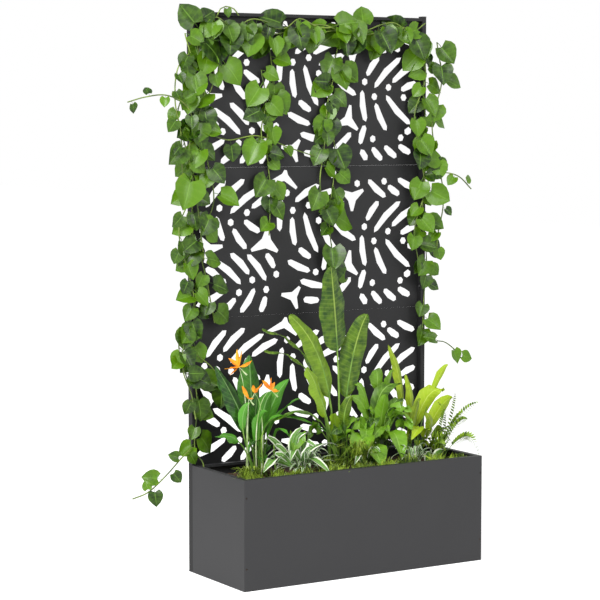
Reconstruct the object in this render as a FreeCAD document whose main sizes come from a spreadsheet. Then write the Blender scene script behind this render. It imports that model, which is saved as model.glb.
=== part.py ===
import FreeCAD, Part
import math
import os

import Sketcher

# Planter box of folded steel sheet with a laser-cut leaf screen standing behind it, planted.
# Millimetres. X runs along the front, Y to the back, Z up; the origin is the middle of the
# footprint, on the floor.

Vector = FreeCAD.Vector
UP = Vector(0, 0, 1)
ALONG = Vector(1, 0, 0)
doc = FreeCAD.newDocument("planter_trellis")

# ---------------------------------------------------------------------------------------------
# Sizes
# ---------------------------------------------------------------------------------------------

SIZES = [
    # box
    ("width", 900, "over the two posts"),
    ("box_depth", 330, "front face to back face of the box"),
    ("box_height", 346, "floor to rim"),
    ("sheet", 1.5, "steel sheet of the box"),
    ("bend_radius", 3, "outside radius of the front corners"),
    ("rim_width", 18, "rim folded inwards"),
    ("rim_hem", 8, "edge of the rim folded down"),
    ("base_flange", 20, "bottom edge folded inwards"),
    ("return_width", 24, "rear edge of each side folded inwards"),
    ("fold_gap", 0.3, "between folded sheets that meet"),
    # false floor
    ("tray_height", 24, "folded edge of the floor tray"),
    ("tray_gap", 1, "tray to box wall"),
    ("drain_length", 40, "drain slot along the tray"),
    ("drain_width", 8, "drain slot"),
    ("drain_pitch", 270, "drain slots along the tray"),
    ("drain_rows", 150, "between the two rows of drain slots"),
    ("beam_width", 50, "channel under the tray"),
    ("beam_flange", 15, "side of that channel, less its web"),
    ("beam_place", 210, "channel from the middle of the box"),
    # posts
    ("total_height", 1785, "floor to the top of the post caps"),
    ("post_width", 15, "tube, along the front"),
    ("post_depth", 25, "tube, front to back"),
    ("post_wall", 1.2, "tube wall"),
    ("post_radius", 2, "outside corner of the tube"),
    ("cap_plate", 3, "plate of a post cap"),
    ("cap_chamfer", 1, "edge of a post cap"),
    ("plug_length", 14, "part of a cap inside its tube"),
    ("plug_wall", 1.6, "wall of that part"),
    ("plug_gap", 0.2, "plug to tube wall"),
    # rail
    ("rail_height", 10, "tube, on edge"),
    ("rail_wall", 1.2, "tube wall"),
    ("rail_drop", 3, "end of the post tube down to the rail"),
    ("rail_gap", 0.5, "end of the rail to the post"),
    ("tongue", 5, "rail connector into the post"),
    # screens
    ("screen_sheet", 1.5, "sheet of the screens"),
    ("screen_recess", 18, "front of the posts back to the screens"),
    ("screen_gap", 0.2, "between one screen and the next"),
    ("screen_side_gap", 0.3, "screen flange to post"),
    ("screen_tuck", 14, "screens reach this far below the rim"),
    ("corner_relief", 6, "flange ends this far from the sheet's edge"),
    ("screw_inset", 70, "screw from the end of a screen"),
    # fasteners
    ("screw_diameter", 4.2, "self-tapping screw, across its shank"),
    ("screw_across", 7, "its head across flats"),
    ("screw_head", 3, "its head's height"),
    ("screw_length", 9, "under the head"),
    ("bolt_diameter", 5, "box to post, across its shank"),
    ("bolt_across", 8, "its head across flats"),
    ("bolt_head", 3.5, "its head's height"),
    ("bolt_length", 14, "under the head"),
    ("bolt_low", 70, "lower bolt above the floor"),
    ("bolt_high", 290, "upper bolt above the floor"),
    ("insert_across", 8, "threaded insert across flats"),
    ("insert_length", 9, "threaded insert in the post"),
    ("hole_gap", 0.3, "around a screw or bolt"),
    # planting
    ("soil_drop", 32, "rim down to the soil"),
    ("soil_gap", 0.3, "soil to the sheets"),
    ("leaf_plate", 1.2, "leaf blade"),
    ("vine_stem", 5, "climbing stem"),
    ("stalk", 7, "stalk of a tall leaf"),
]

sizes = doc.addObject("Spreadsheet::Sheet", "sizes")
for row, (alias, value, note) in enumerate(SIZES, start=1):
    sizes.set(f"A{row}", alias)
    sizes.set(f"B{row}", str(value))
    sizes.set(f"C{row}", note)
    sizes.setAlias(f"B{row}", alias)
doc.recompute()

# Places that several pieces share, worked out from the sheet.
PLACES = [
    ("half_width", "sizes.width / 2"),
    ("front", "-(sizes.box_depth + sizes.post_depth) / 2"),
    ("post_front", "(sizes.box_depth - sizes.post_depth) / 2"),
    ("back", "(sizes.box_depth + sizes.post_depth) / 2"),
    ("wall_back", "places.post_front - sizes.sheet"),
    ("wall_front", "places.wall_back - sizes.sheet"),
    ("inner_half", "places.half_width - sizes.sheet"),
    ("post_inner", "places.half_width - sizes.post_width"),
    ("post_axis", "places.half_width - sizes.post_width / 2"),
    ("post_top", "sizes.total_height - sizes.cap_plate"),
    ("rail_top", "places.post_top - sizes.rail_drop"),
    ("rail_bottom", "places.rail_top - sizes.rail_height"),
    ("screen_front", "places.post_front + sizes.screen_recess"),
    ("screen_half", "places.post_inner - sizes.screen_side_gap"),
    ("screen_bottom", "sizes.box_height - sizes.screen_tuck"),
    ("screen_pitch", "(places.rail_bottom - places.screen_bottom) / 3"),
    ("screen_height", "places.screen_pitch - sizes.screen_gap"),
    ("tray_half", "places.inner_half - sizes.tray_gap"),
    ("tray_front", "places.front + sizes.sheet + sizes.tray_gap"),
    ("tray_back", "places.wall_front - sizes.tray_gap"),
    ("tray_top", "sizes.sheet + sizes.tray_height"),
    ("soil_top", "sizes.box_height - sizes.soil_drop"),
]

places = doc.addObject("App::VarSet", "places")
for name, rule in PLACES:
    places.addProperty("App::PropertyFloat", name)
    places.setExpression(name, rule)
    doc.recompute()


def size(alias):
    return float(sizes.get(alias))


def place(name):
    return float(getattr(places, name))


# ---------------------------------------------------------------------------------------------
# Sketches and features
# ---------------------------------------------------------------------------------------------


def new_body(label):
    body = doc.addObject("PartDesign::Body", label)
    body.Label = label
    return body


def new_sketch(body, name, role, lift=None):
    """A sketch on one of the body's own planes, moved along its normal by an expression."""
    sketch = body.newObject("Sketcher::SketchObject", name)
    origin_plane = next(f for f in body.Origin.OriginFeatures if f.Role == role)
    sketch.AttachmentSupport = (origin_plane, [""])
    sketch.MapMode = "FlatFace"
    if lift:
        sketch.setExpression("AttachmentOffset.Base.z", lift)
    return sketch


def outline(sketch, corners, closed=True):
    """Straight lines through corners, each corner held by two expressions."""
    count = len(corners)
    first = sketch.GeometryCount
    ring = [
        Vector(10 * math.cos(math.tau * i / count), 10 * math.sin(math.tau * i / count), 0)
        for i in range(count)
    ]
    lines = count if closed else count - 1
    sketch.addGeometry(
        [Part.LineSegment(ring[i], ring[(i + 1) % count]) for i in range(lines)], False
    )
    for i in range(lines if closed else lines - 1):
        following = first + (i + 1) % count
        sketch.addConstraint(Sketcher.Constraint("Coincident", first + i, 2, following, 1))
    for i, corner in enumerate(corners):
        line, end = (first + i, 1) if i < lines else (first + lines - 1, 2)
        for kind, rule in zip(("DistanceX", "DistanceY"), corner):
            index = sketch.addConstraint(Sketcher.Constraint(kind, -1, 1, line, end, 0.0))
            sketch.setExpression(f"Constraints[{index}]", rule)


def rectangle(sketch, low_x, low_y, high_x, high_y):
    outline(sketch, [(low_x, low_y), (high_x, low_y), (high_x, high_y), (low_x, high_y)])


def hexagon(sketch, centre_x, centre_y, across):
    """Six sides, flats across apart, one corner pointing up."""
    corners = []
    for turn in range(6):
        angle = 60 * turn + 30
        corners.append(
            (
                f"{centre_x} + {across} / sqrt(3) * cos({angle} deg)",
                f"{centre_y} + {across} / sqrt(3) * sin({angle} deg)",
            )
        )
    outline(sketch, corners)


def pad(body, name, sketch, length, reverse=False):
    feature = body.newObject("PartDesign::Pad", name)
    feature.Profile = sketch
    feature.setExpression("Length", length)
    feature.Reversed = reverse
    sketch.Visibility = False
    return feature


def pocket(body, name, sketch, length=None, reverse=False, both=False):
    """A cut of the given length, or through everything both ways."""
    feature = body.newObject("PartDesign::Pocket", name)
    feature.Profile = sketch
    feature.Reversed = reverse
    if length:
        feature.setExpression("Length", length)
        feature.Midplane = both
    else:
        feature.Type = "ThroughAll"
        feature.Midplane = True
    sketch.Visibility = False
    return feature


def round_edges(body, name, radius, chosen):
    """A fillet on the edges of the body's tip that chosen accepts."""
    doc.recompute()
    tip = body.Tip
    names = [f"Edge{i}" for i, edge in enumerate(tip.Shape.Edges, start=1) if chosen(edge)]
    feature = body.newObject("PartDesign::Fillet", name)
    feature.Base = (tip, names)
    feature.setExpression("Radius", radius)


def upright(edge, low_length):
    """Whether an edge is vertical and at least that long."""
    ends = [vertex.Point for vertex in edge.Vertexes]
    if len(ends) < 2:
        return False
    run = ends[1] - ends[0]
    return abs(run.z) > low_length and abs(run.x) + abs(run.y) < 1e-6


# ---------------------------------------------------------------------------------------------
# Box
# ---------------------------------------------------------------------------------------------


def box_shell():
    """Front and both sides in one folded strip, its section carried round two mitred corners."""
    body = new_body("box_shell")
    section = new_sketch(body, "section", "XZ_Plane", "-places.post_front")
    left, thick, top = "-places.half_width", "sizes.sheet", "sizes.box_height"
    outline(
        section,
        [
            (left, "0"),
            (f"{left} + sizes.base_flange", "0"),
            (f"{left} + sizes.base_flange", thick),
            (f"{left} + {thick}", thick),
            (f"{left} + {thick}", f"{top} - {thick}"),
            (f"{left} + sizes.rim_width - {thick}", f"{top} - {thick}"),
            (f"{left} + sizes.rim_width - {thick}", f"{top} - sizes.rim_hem"),
            (f"{left} + sizes.rim_width", f"{top} - sizes.rim_hem"),
            (f"{left} + sizes.rim_width", top),
            (left, top),
        ],
    )
    path = new_sketch(body, "path", "XY_Plane")
    outline(
        path,
        [
            (left, "places.post_front"),
            (left, "places.front"),
            ("places.half_width", "places.front"),
            ("places.half_width", "places.post_front"),
        ],
        closed=False,
    )
    doc.recompute()
    sweep = body.newObject("PartDesign::AdditivePipe", "strip")
    sweep.Profile = section
    sweep.Spine = (path, ["Edge1", "Edge2", "Edge3"])
    sweep.Transition = "Right corner"
    section.Visibility = False
    path.Visibility = False

    returns = new_sketch(body, "returns_outline", "XZ_Plane", "-places.post_front")
    inner = "(places.half_width - sizes.return_width)"
    rectangle(returns, left, "0", f"-{inner}", top)
    rectangle(returns, inner, "0", "places.half_width", top)
    pad(body, "returns", returns, thick)

    notch = new_sketch(body, "hem_notch_outline", "YZ_Plane")
    rectangle(
        notch,
        "places.wall_front - sizes.fold_gap",
        f"{top} - sizes.rim_hem",
        "places.wall_back",
        f"{top} - {thick}",
    )
    pocket(body, "hem_notch", notch, "2 * places.inner_half", both=True)

    holes = new_sketch(body, "bolt_holes_outline", "XZ_Plane", "-places.post_front")
    for side in ("-places.post_axis", "places.post_axis"):
        for height in ("sizes.bolt_low", "sizes.bolt_high"):
            hexagon(holes, side, height, "(sizes.bolt_diameter + 2 * sizes.hole_gap)")
    pocket(body, "bolt_holes", holes)

    front, half, wall = place("front"), place("half_width"), size("sheet")

    def bend(depth):
        def chosen(edge):
            point = edge.Vertexes[0].Point
            near_corner = abs(abs(point.x) - half + depth) < 0.01
            return upright(edge, 50) and near_corner and abs(point.y - front - depth) < 0.01

        return chosen

    round_edges(body, "outer_bends", "sizes.bend_radius", bend(0))
    round_edges(body, "inner_bends", "max(sizes.bend_radius - sizes.sheet; 0.2)", bend(wall))
    return body


def back_wall():
    """Sheet clamped between the box's rear returns and its soil, with rim and bottom folds."""
    body = new_body("back_wall")
    plate = new_sketch(body, "plate_outline", "XZ_Plane", "-places.wall_back")
    side = "(places.inner_half - sizes.fold_gap)"
    low, high = "sizes.sheet + sizes.fold_gap", "sizes.box_height - sizes.sheet"
    rectangle(plate, f"-{side}", low, side, high)
    pad(body, "plate", plate, "sizes.sheet")

    rim = new_sketch(body, "rim_section", "YZ_Plane")
    top, thick, back = "sizes.box_height", "sizes.sheet", "places.wall_back"
    outline(
        rim,
        [
            (back, f"{top} - {thick}"),
            (back, top),
            (f"{back} - sizes.rim_width", top),
            (f"{back} - sizes.rim_width", f"{top} - sizes.rim_hem"),
            (f"{back} - sizes.rim_width + {thick}", f"{top} - sizes.rim_hem"),
            (f"{back} - sizes.rim_width + {thick}", f"{top} - {thick}"),
        ],
    )
    rim_pad = pad(body, "rim", rim, "2 * (places.half_width - sizes.return_width - sizes.fold_gap)")
    rim_pad.Midplane = True

    foot = new_sketch(body, "foot_section", "YZ_Plane")
    rectangle(foot, f"{back} - sizes.base_flange", "0", back, "sizes.sheet")
    rectangle(foot, "places.wall_front", "sizes.sheet", back, low)
    foot_pad = pad(
        body, "foot", foot, "2 * (places.half_width - sizes.return_width - sizes.fold_gap)"
    )
    foot_pad.Midplane = True

    holes = new_sketch(body, "bolt_holes_outline", "XZ_Plane", "-places.wall_back")
    for x in ("-places.post_axis", "places.post_axis"):
        for height in ("sizes.bolt_low", "sizes.bolt_high"):
            hexagon(holes, x, height, "(sizes.bolt_diameter + 2 * sizes.hole_gap)")
    pocket(body, "bolt_holes", holes)
    return body


def floor_tray():
    """False floor: a pan turned upside down on the box's bottom folds, with two rows of slots."""
    body = new_body("floor_tray")
    outer = new_sketch(body, "pan_outline", "XY_Plane", "sizes.sheet")
    rectangle(outer, "-places.tray_half", "places.tray_front", "places.tray_half", "places.tray_back")
    pad(body, "pan", outer, "sizes.tray_height")
    inner = new_sketch(body, "hollow_outline", "XY_Plane", "sizes.sheet")
    rectangle(
        inner,
        "-places.tray_half + sizes.sheet",
        "places.tray_front + sizes.sheet",
        "places.tray_half - sizes.sheet",
        "places.tray_back - sizes.sheet",
    )
    pocket(body, "hollow", inner, "sizes.tray_height - sizes.sheet", reverse=True)
    drains = new_sketch(body, "drains_outline", "XY_Plane", "places.tray_top")
    middle = "(places.tray_front + places.tray_back) / 2"
    for row in ("- sizes.drain_rows / 2", "+ sizes.drain_rows / 2"):
        for step in (-1, 0, 1):
            centre = f"{step} * sizes.drain_pitch"
            rectangle(
                drains,
                f"{centre} - sizes.drain_length / 2",
                f"{middle}{row} - sizes.drain_width / 2",
                f"{centre} + sizes.drain_length / 2",
                f"{middle}{row} + sizes.drain_width / 2",
            )
    pocket(body, "drains", drains, "2 * sizes.sheet")
    return body


def floor_beam(label, side):
    """Channel from front to back under the tray, on the box's bottom folds."""
    body = new_body(label)
    section = new_sketch(body, "section", "XZ_Plane", "-(places.tray_back - 2 * sizes.sheet)")
    centre = f"{side} * sizes.beam_place"
    left, right = f"{centre} - sizes.beam_width / 2", f"{centre} + sizes.beam_width / 2"
    low, high, thick = "sizes.sheet", "(places.tray_top - sizes.sheet)", "sizes.sheet"
    outline(
        section,
        [
            (left, low),
            (f"{left} + {thick}", low),
            (f"{left} + {thick}", f"{high} - {thick}"),
            (f"{right} - {thick}", f"{high} - {thick}"),
            (f"{right} - {thick}", low),
            (right, low),
            (right, high),
            (left, high),
        ],
    )
    pad(body, "channel", section, "places.tray_back - places.tray_front - 4 * sizes.sheet")
    return body


# ---------------------------------------------------------------------------------------------
# Posts, caps and rail
# ---------------------------------------------------------------------------------------------


def screw_heights():
    heights = []
    for index in range(3):
        low = f"places.screen_bottom + {index} * places.screen_pitch"
        heights.append(f"{low} + sizes.screw_inset")
        heights.append(f"{low} + places.screen_height - sizes.screw_inset")
    return heights


SCREW_DEPTH = "(places.post_front + sizes.screen_recess / 2)"


def post(label, side):
    """Rectangular tube at a back corner; side is -1 for the left and 1 for the right."""
    body = new_body(label)
    section = new_sketch(body, "section", "XY_Plane", "sizes.cap_plate")
    near, far = f"{side} * places.post_inner", f"{side} * places.half_width"
    low, high = (near, far) if side > 0 else (far, near)
    rectangle(section, low, "places.post_front", high, "places.back")
    pad(body, "tube", section, "places.post_top - sizes.cap_plate")
    round_edges(body, "tube_corners", "sizes.post_radius", lambda edge: upright(edge, 50))
    bore = new_sketch(body, "bore_outline", "XY_Plane", "sizes.cap_plate")
    wall = "sizes.post_wall"
    rectangle(
        bore,
        f"{low} + {wall}",
        f"places.post_front + {wall}",
        f"{high} - {wall}",
        f"places.back - {wall}",
    )
    pocket(body, "bore", bore)

    screws = new_sketch(body, "screw_holes_outline", "YZ_Plane", f"{side} * (places.post_inner - 1)")
    for height in screw_heights():
        hexagon(screws, SCREW_DEPTH, height, "(sizes.screw_diameter + 2 * sizes.hole_gap)")
    pocket(body, "screw_holes", screws, "sizes.post_wall + 2", reverse=side > 0)

    tongue = new_sketch(body, "tongue_slot_outline", "YZ_Plane", f"{side} * (places.post_inner - 1)")
    middle = "(places.post_front + places.back) / 2"
    rail_middle = "(places.rail_bottom + places.rail_top) / 2"
    reach = "(sizes.tongue / 2 + sizes.plug_gap)"
    rectangle(
        tongue,
        f"{middle} - {reach}",
        f"{rail_middle} - {reach}",
        f"{middle} + {reach}",
        f"{rail_middle} + {reach}",
    )
    pocket(body, "tongue_slot", tongue, "sizes.post_wall + 2", reverse=side > 0)

    bolts = new_sketch(body, "insert_holes_outline", "XZ_Plane", "-places.post_front + 1")
    for height in ("sizes.bolt_low", "sizes.bolt_high"):
        hexagon(bolts, f"{side} * places.post_axis", height, "(sizes.insert_across + sizes.plug_gap)")
    pocket(body, "insert_holes", bolts, "sizes.post_wall + 2")
    return body


def tube_end(label, side, base, direction):
    """Moulded end of a post: a plate outside the tube and a hollow plug inside it."""
    body = new_body(label)
    plate = new_sketch(body, "plate_outline", "XY_Plane", base)
    axis = f"{side} * places.post_axis"
    rectangle(
        plate,
        f"{axis} - sizes.post_width / 2",
        "places.post_front",
        f"{axis} + sizes.post_width / 2",
        "places.back",
    )
    pad(body, "plate", plate, "sizes.cap_plate", reverse=direction < 0)
    if direction > 0:
        doc.recompute()
        outward = place("post_top") + size("cap_plate")
        tip = body.Tip
        rim = [
            f"Edge{i}"
            for i, edge in enumerate(tip.Shape.Edges, start=1)
            if all(abs(vertex.Point.z - outward) < 1e-6 for vertex in edge.Vertexes)
        ]
        edge_break = body.newObject("PartDesign::Chamfer", "plate_edge")
        edge_break.Base = (tip, rim)
        edge_break.setExpression("Size", "sizes.cap_chamfer")
    plug = new_sketch(body, "plug_outline", "XY_Plane", base)
    play = "(sizes.post_wall + sizes.plug_gap)"
    hollow = "(sizes.post_wall + sizes.plug_gap + sizes.plug_wall)"
    for inset in (play, hollow):
        rectangle(
            plug,
            f"{axis} - sizes.post_width / 2 + {inset}",
            f"places.post_front + {inset}",
            f"{axis} + sizes.post_width / 2 - {inset}",
            f"places.back - {inset}",
        )
    pad(body, "plug", plug, "sizes.plug_length", reverse=direction > 0)
    return body


def top_rail():
    """Flat tube between the posts, over the screens."""
    body = new_body("top_rail")
    section = new_sketch(body, "section", "YZ_Plane")
    for inset in ("0", "sizes.rail_wall"):
        rectangle(
            section,
            f"places.post_front + {inset}",
            f"places.rail_bottom + {inset}",
            f"places.back - {inset}",
            f"places.rail_top - {inset}",
        )
    tube = pad(body, "tube", section, "2 * (places.post_inner - sizes.rail_gap)")
    tube.Midplane = True
    return body


def rail_connector(label, side):
    """Moulded plug in the end of the rail, with a tongue through the post's inner wall."""
    body = new_body(label)
    end = f"{side} * (places.post_inner - sizes.rail_gap)"
    play = "(sizes.rail_wall + sizes.plug_gap)"
    block = new_sketch(body, "block_outline", "YZ_Plane", end)
    rectangle(
        block,
        f"places.post_front + {play}",
        f"places.rail_bottom + {play}",
        f"places.back - {play}",
        f"places.rail_top - {play}",
    )
    pad(body, "block", block, "sizes.plug_length", reverse=side > 0)
    tongue = new_sketch(body, "tongue_outline", "YZ_Plane", end)
    middle = "(places.post_front + places.back) / 2"
    rail_middle = "(places.rail_bottom + places.rail_top) / 2"
    rectangle(
        tongue,
        f"{middle} - sizes.tongue / 2",
        f"{rail_middle} - sizes.tongue / 2",
        f"{middle} + sizes.tongue / 2",
        f"{rail_middle} + sizes.tongue / 2",
    )
    pad(
        body,
        "tongue",
        tongue,
        "sizes.rail_gap + sizes.post_wall",
        reverse=side < 0,
    )
    return body


# ---------------------------------------------------------------------------------------------
# Leaf screens
# ---------------------------------------------------------------------------------------------

# The openings are drawn in a field of this size and stretched to the real screen.
FIELD_WIDTH = 868.0
FIELD_HEIGHT = 478.0

BORDER = 9.0  # uncut edge of the sheet
WEB = 8.5  # least uncut sheet between two openings
RIB = 8.0  # half the uncut midrib
PITCH = 42.0  # from slot to slot, square to them
SLOT = 24.0  # a slot at its widest
LEAST_SLOT = 28.0
EYE = 12.5  # half the length of a small opening beside the midrib
EYE_REACH = 70.0  # only a slot this long gives up room for an eye
TIP_ANGLE = 26.0
BLUNT = 5.0  # half the end of a gap's arm

# Three-armed openings between the leaves: centre, turn, the arms' reach, and the waist.
GAPS = [
    ((270, 236), 84, (48, 62, 54), 20),
    ((600, 372), 150, (44, 44, 52), 18),
    ((340, 446), 80, (22, 70, 60), 14),
    ((584, 150), 80, (50, 48, 50), 17),
    ((372, 56), 50, (40, 46, 44), 15),
    ((60, 220), 130, (50, 46, 50), 16),
]

# Each leaf: base and tip of its midrib, the midrib's bow, half width above and below it, angle
# and curl of its slots, and which slots start with an eye.
LEAVES = [
    ((622, 262), (806, 240), -8, 140, 130, 86, 0.22, 0),
    ((334, 116), (66, 104), 14, 125, 125, 86, 0.22, 1),
    ((318, 388), (560, 300), -14, 110, 130, 82, 0.22, 0),
    ((26, 352), (238, 318), -12, 140, 110, 86, 0.22, 1),
    ((520, 26), (440, 196), -8, 120, 120, 84, 0.18, 0),
    ((612, 58), (830, 74), 6, 90, 60, 78, 0.18, 1),
    ((500, 428), (830, 440), 6, 60, 84, 76, 0.18, 1),
]

# Along a slot: place from 0 to 1, and its width there as a share of the widest.
LONG_SLOT = [(0.0, 0.0), (0.1, 0.72), (0.5, 1.0), (0.9, 0.78), (1.0, 0.0)]
SHORT_SLOT = [(0.0, 0.0), (0.22, 0.9), (0.8, 0.95), (1.0, 0.0)]
SHORT = 46.0

# A slot that meets another opening is tried again at these shares of its length.
SHORTER = [1.0, 0.94, 0.88, 0.82, 0.76, 0.7, 0.64, 0.58, 0.52, 0.46, 0.4]


def ahead(point, heading, distance, sideways=0.0):
    """The point a distance along a heading, and a distance to the left of it."""
    return (
        point[0] + heading[0] * distance - heading[1] * sideways,
        point[1] + heading[1] * distance + heading[0] * sideways,
    )


def slot_points(start, heading, length, curl):
    """A band that widens and curls as it leaves the midrib."""
    left, right = [], []
    for along, share in LONG_SLOT if length > SHORT else SHORT_SLOT:
        centre = ahead(start, heading, along * length, curl * along * along * length)
        slope = math.atan(2 * curl * along)
        turned = ahead((0, 0), heading, math.cos(slope), math.sin(slope))
        left.append(ahead(centre, turned, 0, SLOT * share / 2))
        right.append(ahead(centre, turned, 0, -SLOT * share / 2))
    return left + right[-2:0:-1]


def eye_points(centre, heading):
    """A small six-sided opening."""
    angles = [math.pi * (corner + 0.5) / 3 for corner in range(6)]
    return [
        ahead(centre, heading, EYE * math.cos(angle), SLOT / 2 * math.sin(angle))
        for angle in angles
    ]


def gap_points(centre, turn, arms, waist):
    """A three-armed opening with blunt ends."""
    points = []
    for index, reach in enumerate(arms):
        arm = math.radians(turn + 120 * index)
        spots = (
            (reach, arm - BLUNT / reach),
            (reach, arm + BLUNT / reach),
            (waist, arm + math.pi / 3),
        )
        points += [ahead(centre, (math.cos(angle), math.sin(angle)), far) for far, angle in spots]
    return points


def segment_gap(point, start, end):
    """Distance from a point to a straight edge."""
    across = (end[0] - start[0], end[1] - start[1])
    reach = (point[0] - start[0]) * across[0] + (point[1] - start[1]) * across[1]
    share = min(max(reach / (across[0] ** 2 + across[1] ** 2), 0.0), 1.0)
    return math.dist(point, ahead(start, across, share))


def apart(first, second):
    """True when two openings leave at least one web of sheet between them."""
    for axis in (0, 1):
        low = max(min(point[axis] for point in ring) for ring in (first, second))
        high = min(max(point[axis] for point in ring) for ring in (first, second))
        if low - high > WEB:
            return True
    return all(
        segment_gap(point, other[index - 1], other[index]) > WEB
        for ring, other in ((first, second), (second, first))
        for point in ring
        for index in range(len(other))
    )


def fits(opening, kept):
    """True when an opening lies in the field and clear of the others."""
    inside = all(
        BORDER <= x <= FIELD_WIDTH - BORDER and BORDER <= z <= FIELD_HEIGHT - BORDER
        for x, z in opening
    )
    return inside and all(apart(opening, other) for other in kept)


def breadth(share):
    """Half width of a leaf along its midrib, as a share of the widest."""
    if share < 0.35:
        return 0.72 + 0.28 * math.sin(math.pi * share / 0.7)
    return 1 - 0.62 * ((share - 0.35) / 0.65) ** 1.6


def cut_slot(kept, root, heading, start, end, curl, eye):
    """One slot, with an eye before it where there is room, as long as its neighbours allow."""
    if eye and end - start > EYE_REACH:
        opening = eye_points(ahead(root, heading, start + EYE), heading)
        if fits(opening, kept):
            kept.append(opening)
        start += 2 * EYE + WEB
    for share in SHORTER:
        length = (end - start) * share
        opening = slot_points(ahead(root, heading, start), heading, length, curl)
        if length > LEAST_SLOT and fits(opening, kept):
            kept.append(opening)
            return


def cut_leaf(kept, base, tip, bow, above, below, base_angle, curl, eyes):
    """The openings of one leaf: slots fanning from both sides of an uncut midrib."""
    length = math.dist(base, tip)
    axis = ((tip[0] - base[0]) / length, (tip[1] - base[1]) / length)
    share, index = 0.45 * PITCH / length, 0
    while share < 0.96:
        root = ahead(base, axis, length * share, 4 * bow * share * (1 - share))
        rise = math.atan2(4 * bow * (1 - 2 * share), length)
        along = math.atan2(axis[1], axis[0]) + rise
        angle = math.radians(base_angle - (base_angle - TIP_ANGLE) * share)
        for side, half in ((1, above), (-1, below)):
            heading = (math.cos(along + side * angle), math.sin(along + side * angle))
            start, end = RIB / math.sin(angle), half * breadth(share) / math.sin(angle)
            eye = (index + (side < 0)) % 2 == eyes
            cut_slot(kept, root, heading, start, end, -curl * side, eye)
        share += PITCH / (length * math.sin(angle))
        index += 1


def leaf_pattern():
    """All openings of one screen: the gaps between the leaves first, then leaf by leaf."""
    kept = [gap_points(*gap) for gap in GAPS]
    for leaf in LEAVES:
        cut_leaf(kept, *leaf)
    return kept


def screen(label, index):
    """One laser-cut sheet with a fold down each side that is screwed to the post."""
    body = new_body(label)
    low = f"(places.screen_bottom + {index} * places.screen_pitch)"
    sheet = new_sketch(body, "sheet_outline", "XZ_Plane", "-places.screen_front")
    rectangle(
        sheet,
        "-places.screen_half",
        low,
        "places.screen_half",
        f"{low} + places.screen_height",
    )
    left = -place("screen_half")
    bottom = place("screen_bottom") + index * place("screen_pitch")
    stretch_x = 2 * place("screen_half") / FIELD_WIDTH
    stretch_z = place("screen_height") / FIELD_HEIGHT
    lines = []
    for opening in leaf_pattern():
        ring = [Vector(left + stretch_x * x, bottom + stretch_z * z, 0) for x, z in opening]
        lines += [Part.LineSegment(ring[i - 1], ring[i]) for i in range(len(ring))]
    sheet.addGeometry(lines, False)
    pad(body, "sheet", sheet, "sizes.screen_sheet", reverse=True)

    folds = new_sketch(body, "folds_outline", "XY_Plane", f"{low} + sizes.corner_relief")
    for near, far in (
        ("-places.screen_half", "-places.screen_half + sizes.screen_sheet"),
        ("places.screen_half - sizes.screen_sheet", "places.screen_half"),
    ):
        rectangle(
            folds, near, "places.post_front + sizes.screen_sheet", far, "places.screen_front"
        )
    pad(body, "folds", folds, "places.screen_height - 2 * sizes.corner_relief")

    holes = new_sketch(body, "screw_holes_outline", "YZ_Plane")
    for height in ("sizes.screw_inset", "places.screen_height - sizes.screw_inset"):
        hexagon(
            holes, SCREW_DEPTH, f"{low} + {height}", "(sizes.screw_diameter + 2 * sizes.hole_gap)"
        )
    pocket(body, "screw_holes", holes)
    return body


# ---------------------------------------------------------------------------------------------
# Fasteners
# ---------------------------------------------------------------------------------------------


def prism(across, height):
    """Six-sided bar standing on the XY plane."""
    radius = across / math.sqrt(3)
    corners = [
        Vector(radius * math.cos(math.radians(60 * i)), radius * math.sin(math.radians(60 * i)), 0)
        for i in range(6)
    ]
    face = Part.Face(Part.makePolygon(corners + corners[:1]))
    return face.extrude(Vector(0, 0, height))


def screw(across, head, diameter, length):
    """Hexagon head above the XY plane and its shank, six-sided like its holes, below."""
    shank = prism(diameter, length)
    shank.translate(Vector(0, 0, -length))
    return prism(across, head).fuse(shank).removeSplitter()


def turned(shape, spot, direction):
    """A copy whose +Z points along direction, moved to spot."""
    copy = shape.copy()
    copy.Placement = FreeCAD.Placement(spot, FreeCAD.Rotation(UP, direction)) * shape.Placement
    return copy


def group(label, solids):
    """Separate solids that share one node."""
    feature = doc.addObject("Part::Feature", label)
    feature.Label = label
    feature.Shape = Part.makeCompound(solids)
    return feature


def screen_screws():
    """Self-tapping screws through the screens' side folds into the posts."""
    part = screw(size("screw_across"), size("screw_head"), size("screw_diameter"), size("screw_length"))
    depth = place("post_front") + size("screen_recess") / 2
    seat = place("screen_half") - size("screen_sheet")
    solids = []
    for index in range(3):
        low = place("screen_bottom") + index * place("screen_pitch")
        for height in (size("screw_inset"), place("screen_height") - size("screw_inset")):
            for side in (-1, 1):
                spot = Vector(side * seat, depth, low + height)
                solids.append(turned(part, spot, Vector(-side, 0, 0)))
    return group("screen_screws", solids)


def box_bolts():
    """Bolts from inside the box through its back wall and returns into the posts."""
    part = screw(size("bolt_across"), size("bolt_head"), size("bolt_diameter"), size("bolt_length"))
    part.rotate(Vector(0, 0, 0), UP, 30)
    solids = []
    for side in (-1, 1):
        for height in (size("bolt_low"), size("bolt_high")):
            spot = Vector(side * place("post_axis"), place("wall_front"), height)
            solids.append(turned(part, spot, Vector(0, -1, 0)))
    return group("box_bolts", solids)


def post_inserts():
    """Six-sided threaded inserts in the front wall of each post."""
    body = prism(size("insert_across"), size("insert_length"))
    body = body.cut(prism(size("bolt_diameter") + size("hole_gap"), size("insert_length")))
    body.rotate(Vector(0, 0, 0), Vector(0, 0, 1), 30)
    solids = []
    for side in (-1, 1):
        for height in (size("bolt_low"), size("bolt_high")):
            copy = body.copy()
            copy.rotate(Vector(0, 0, 0), Vector(1, 0, 0), -90)
            copy.translate(Vector(side * place("post_axis"), place("post_front"), height))
            solids.append(copy)
    return group("post_inserts", solids)


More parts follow.
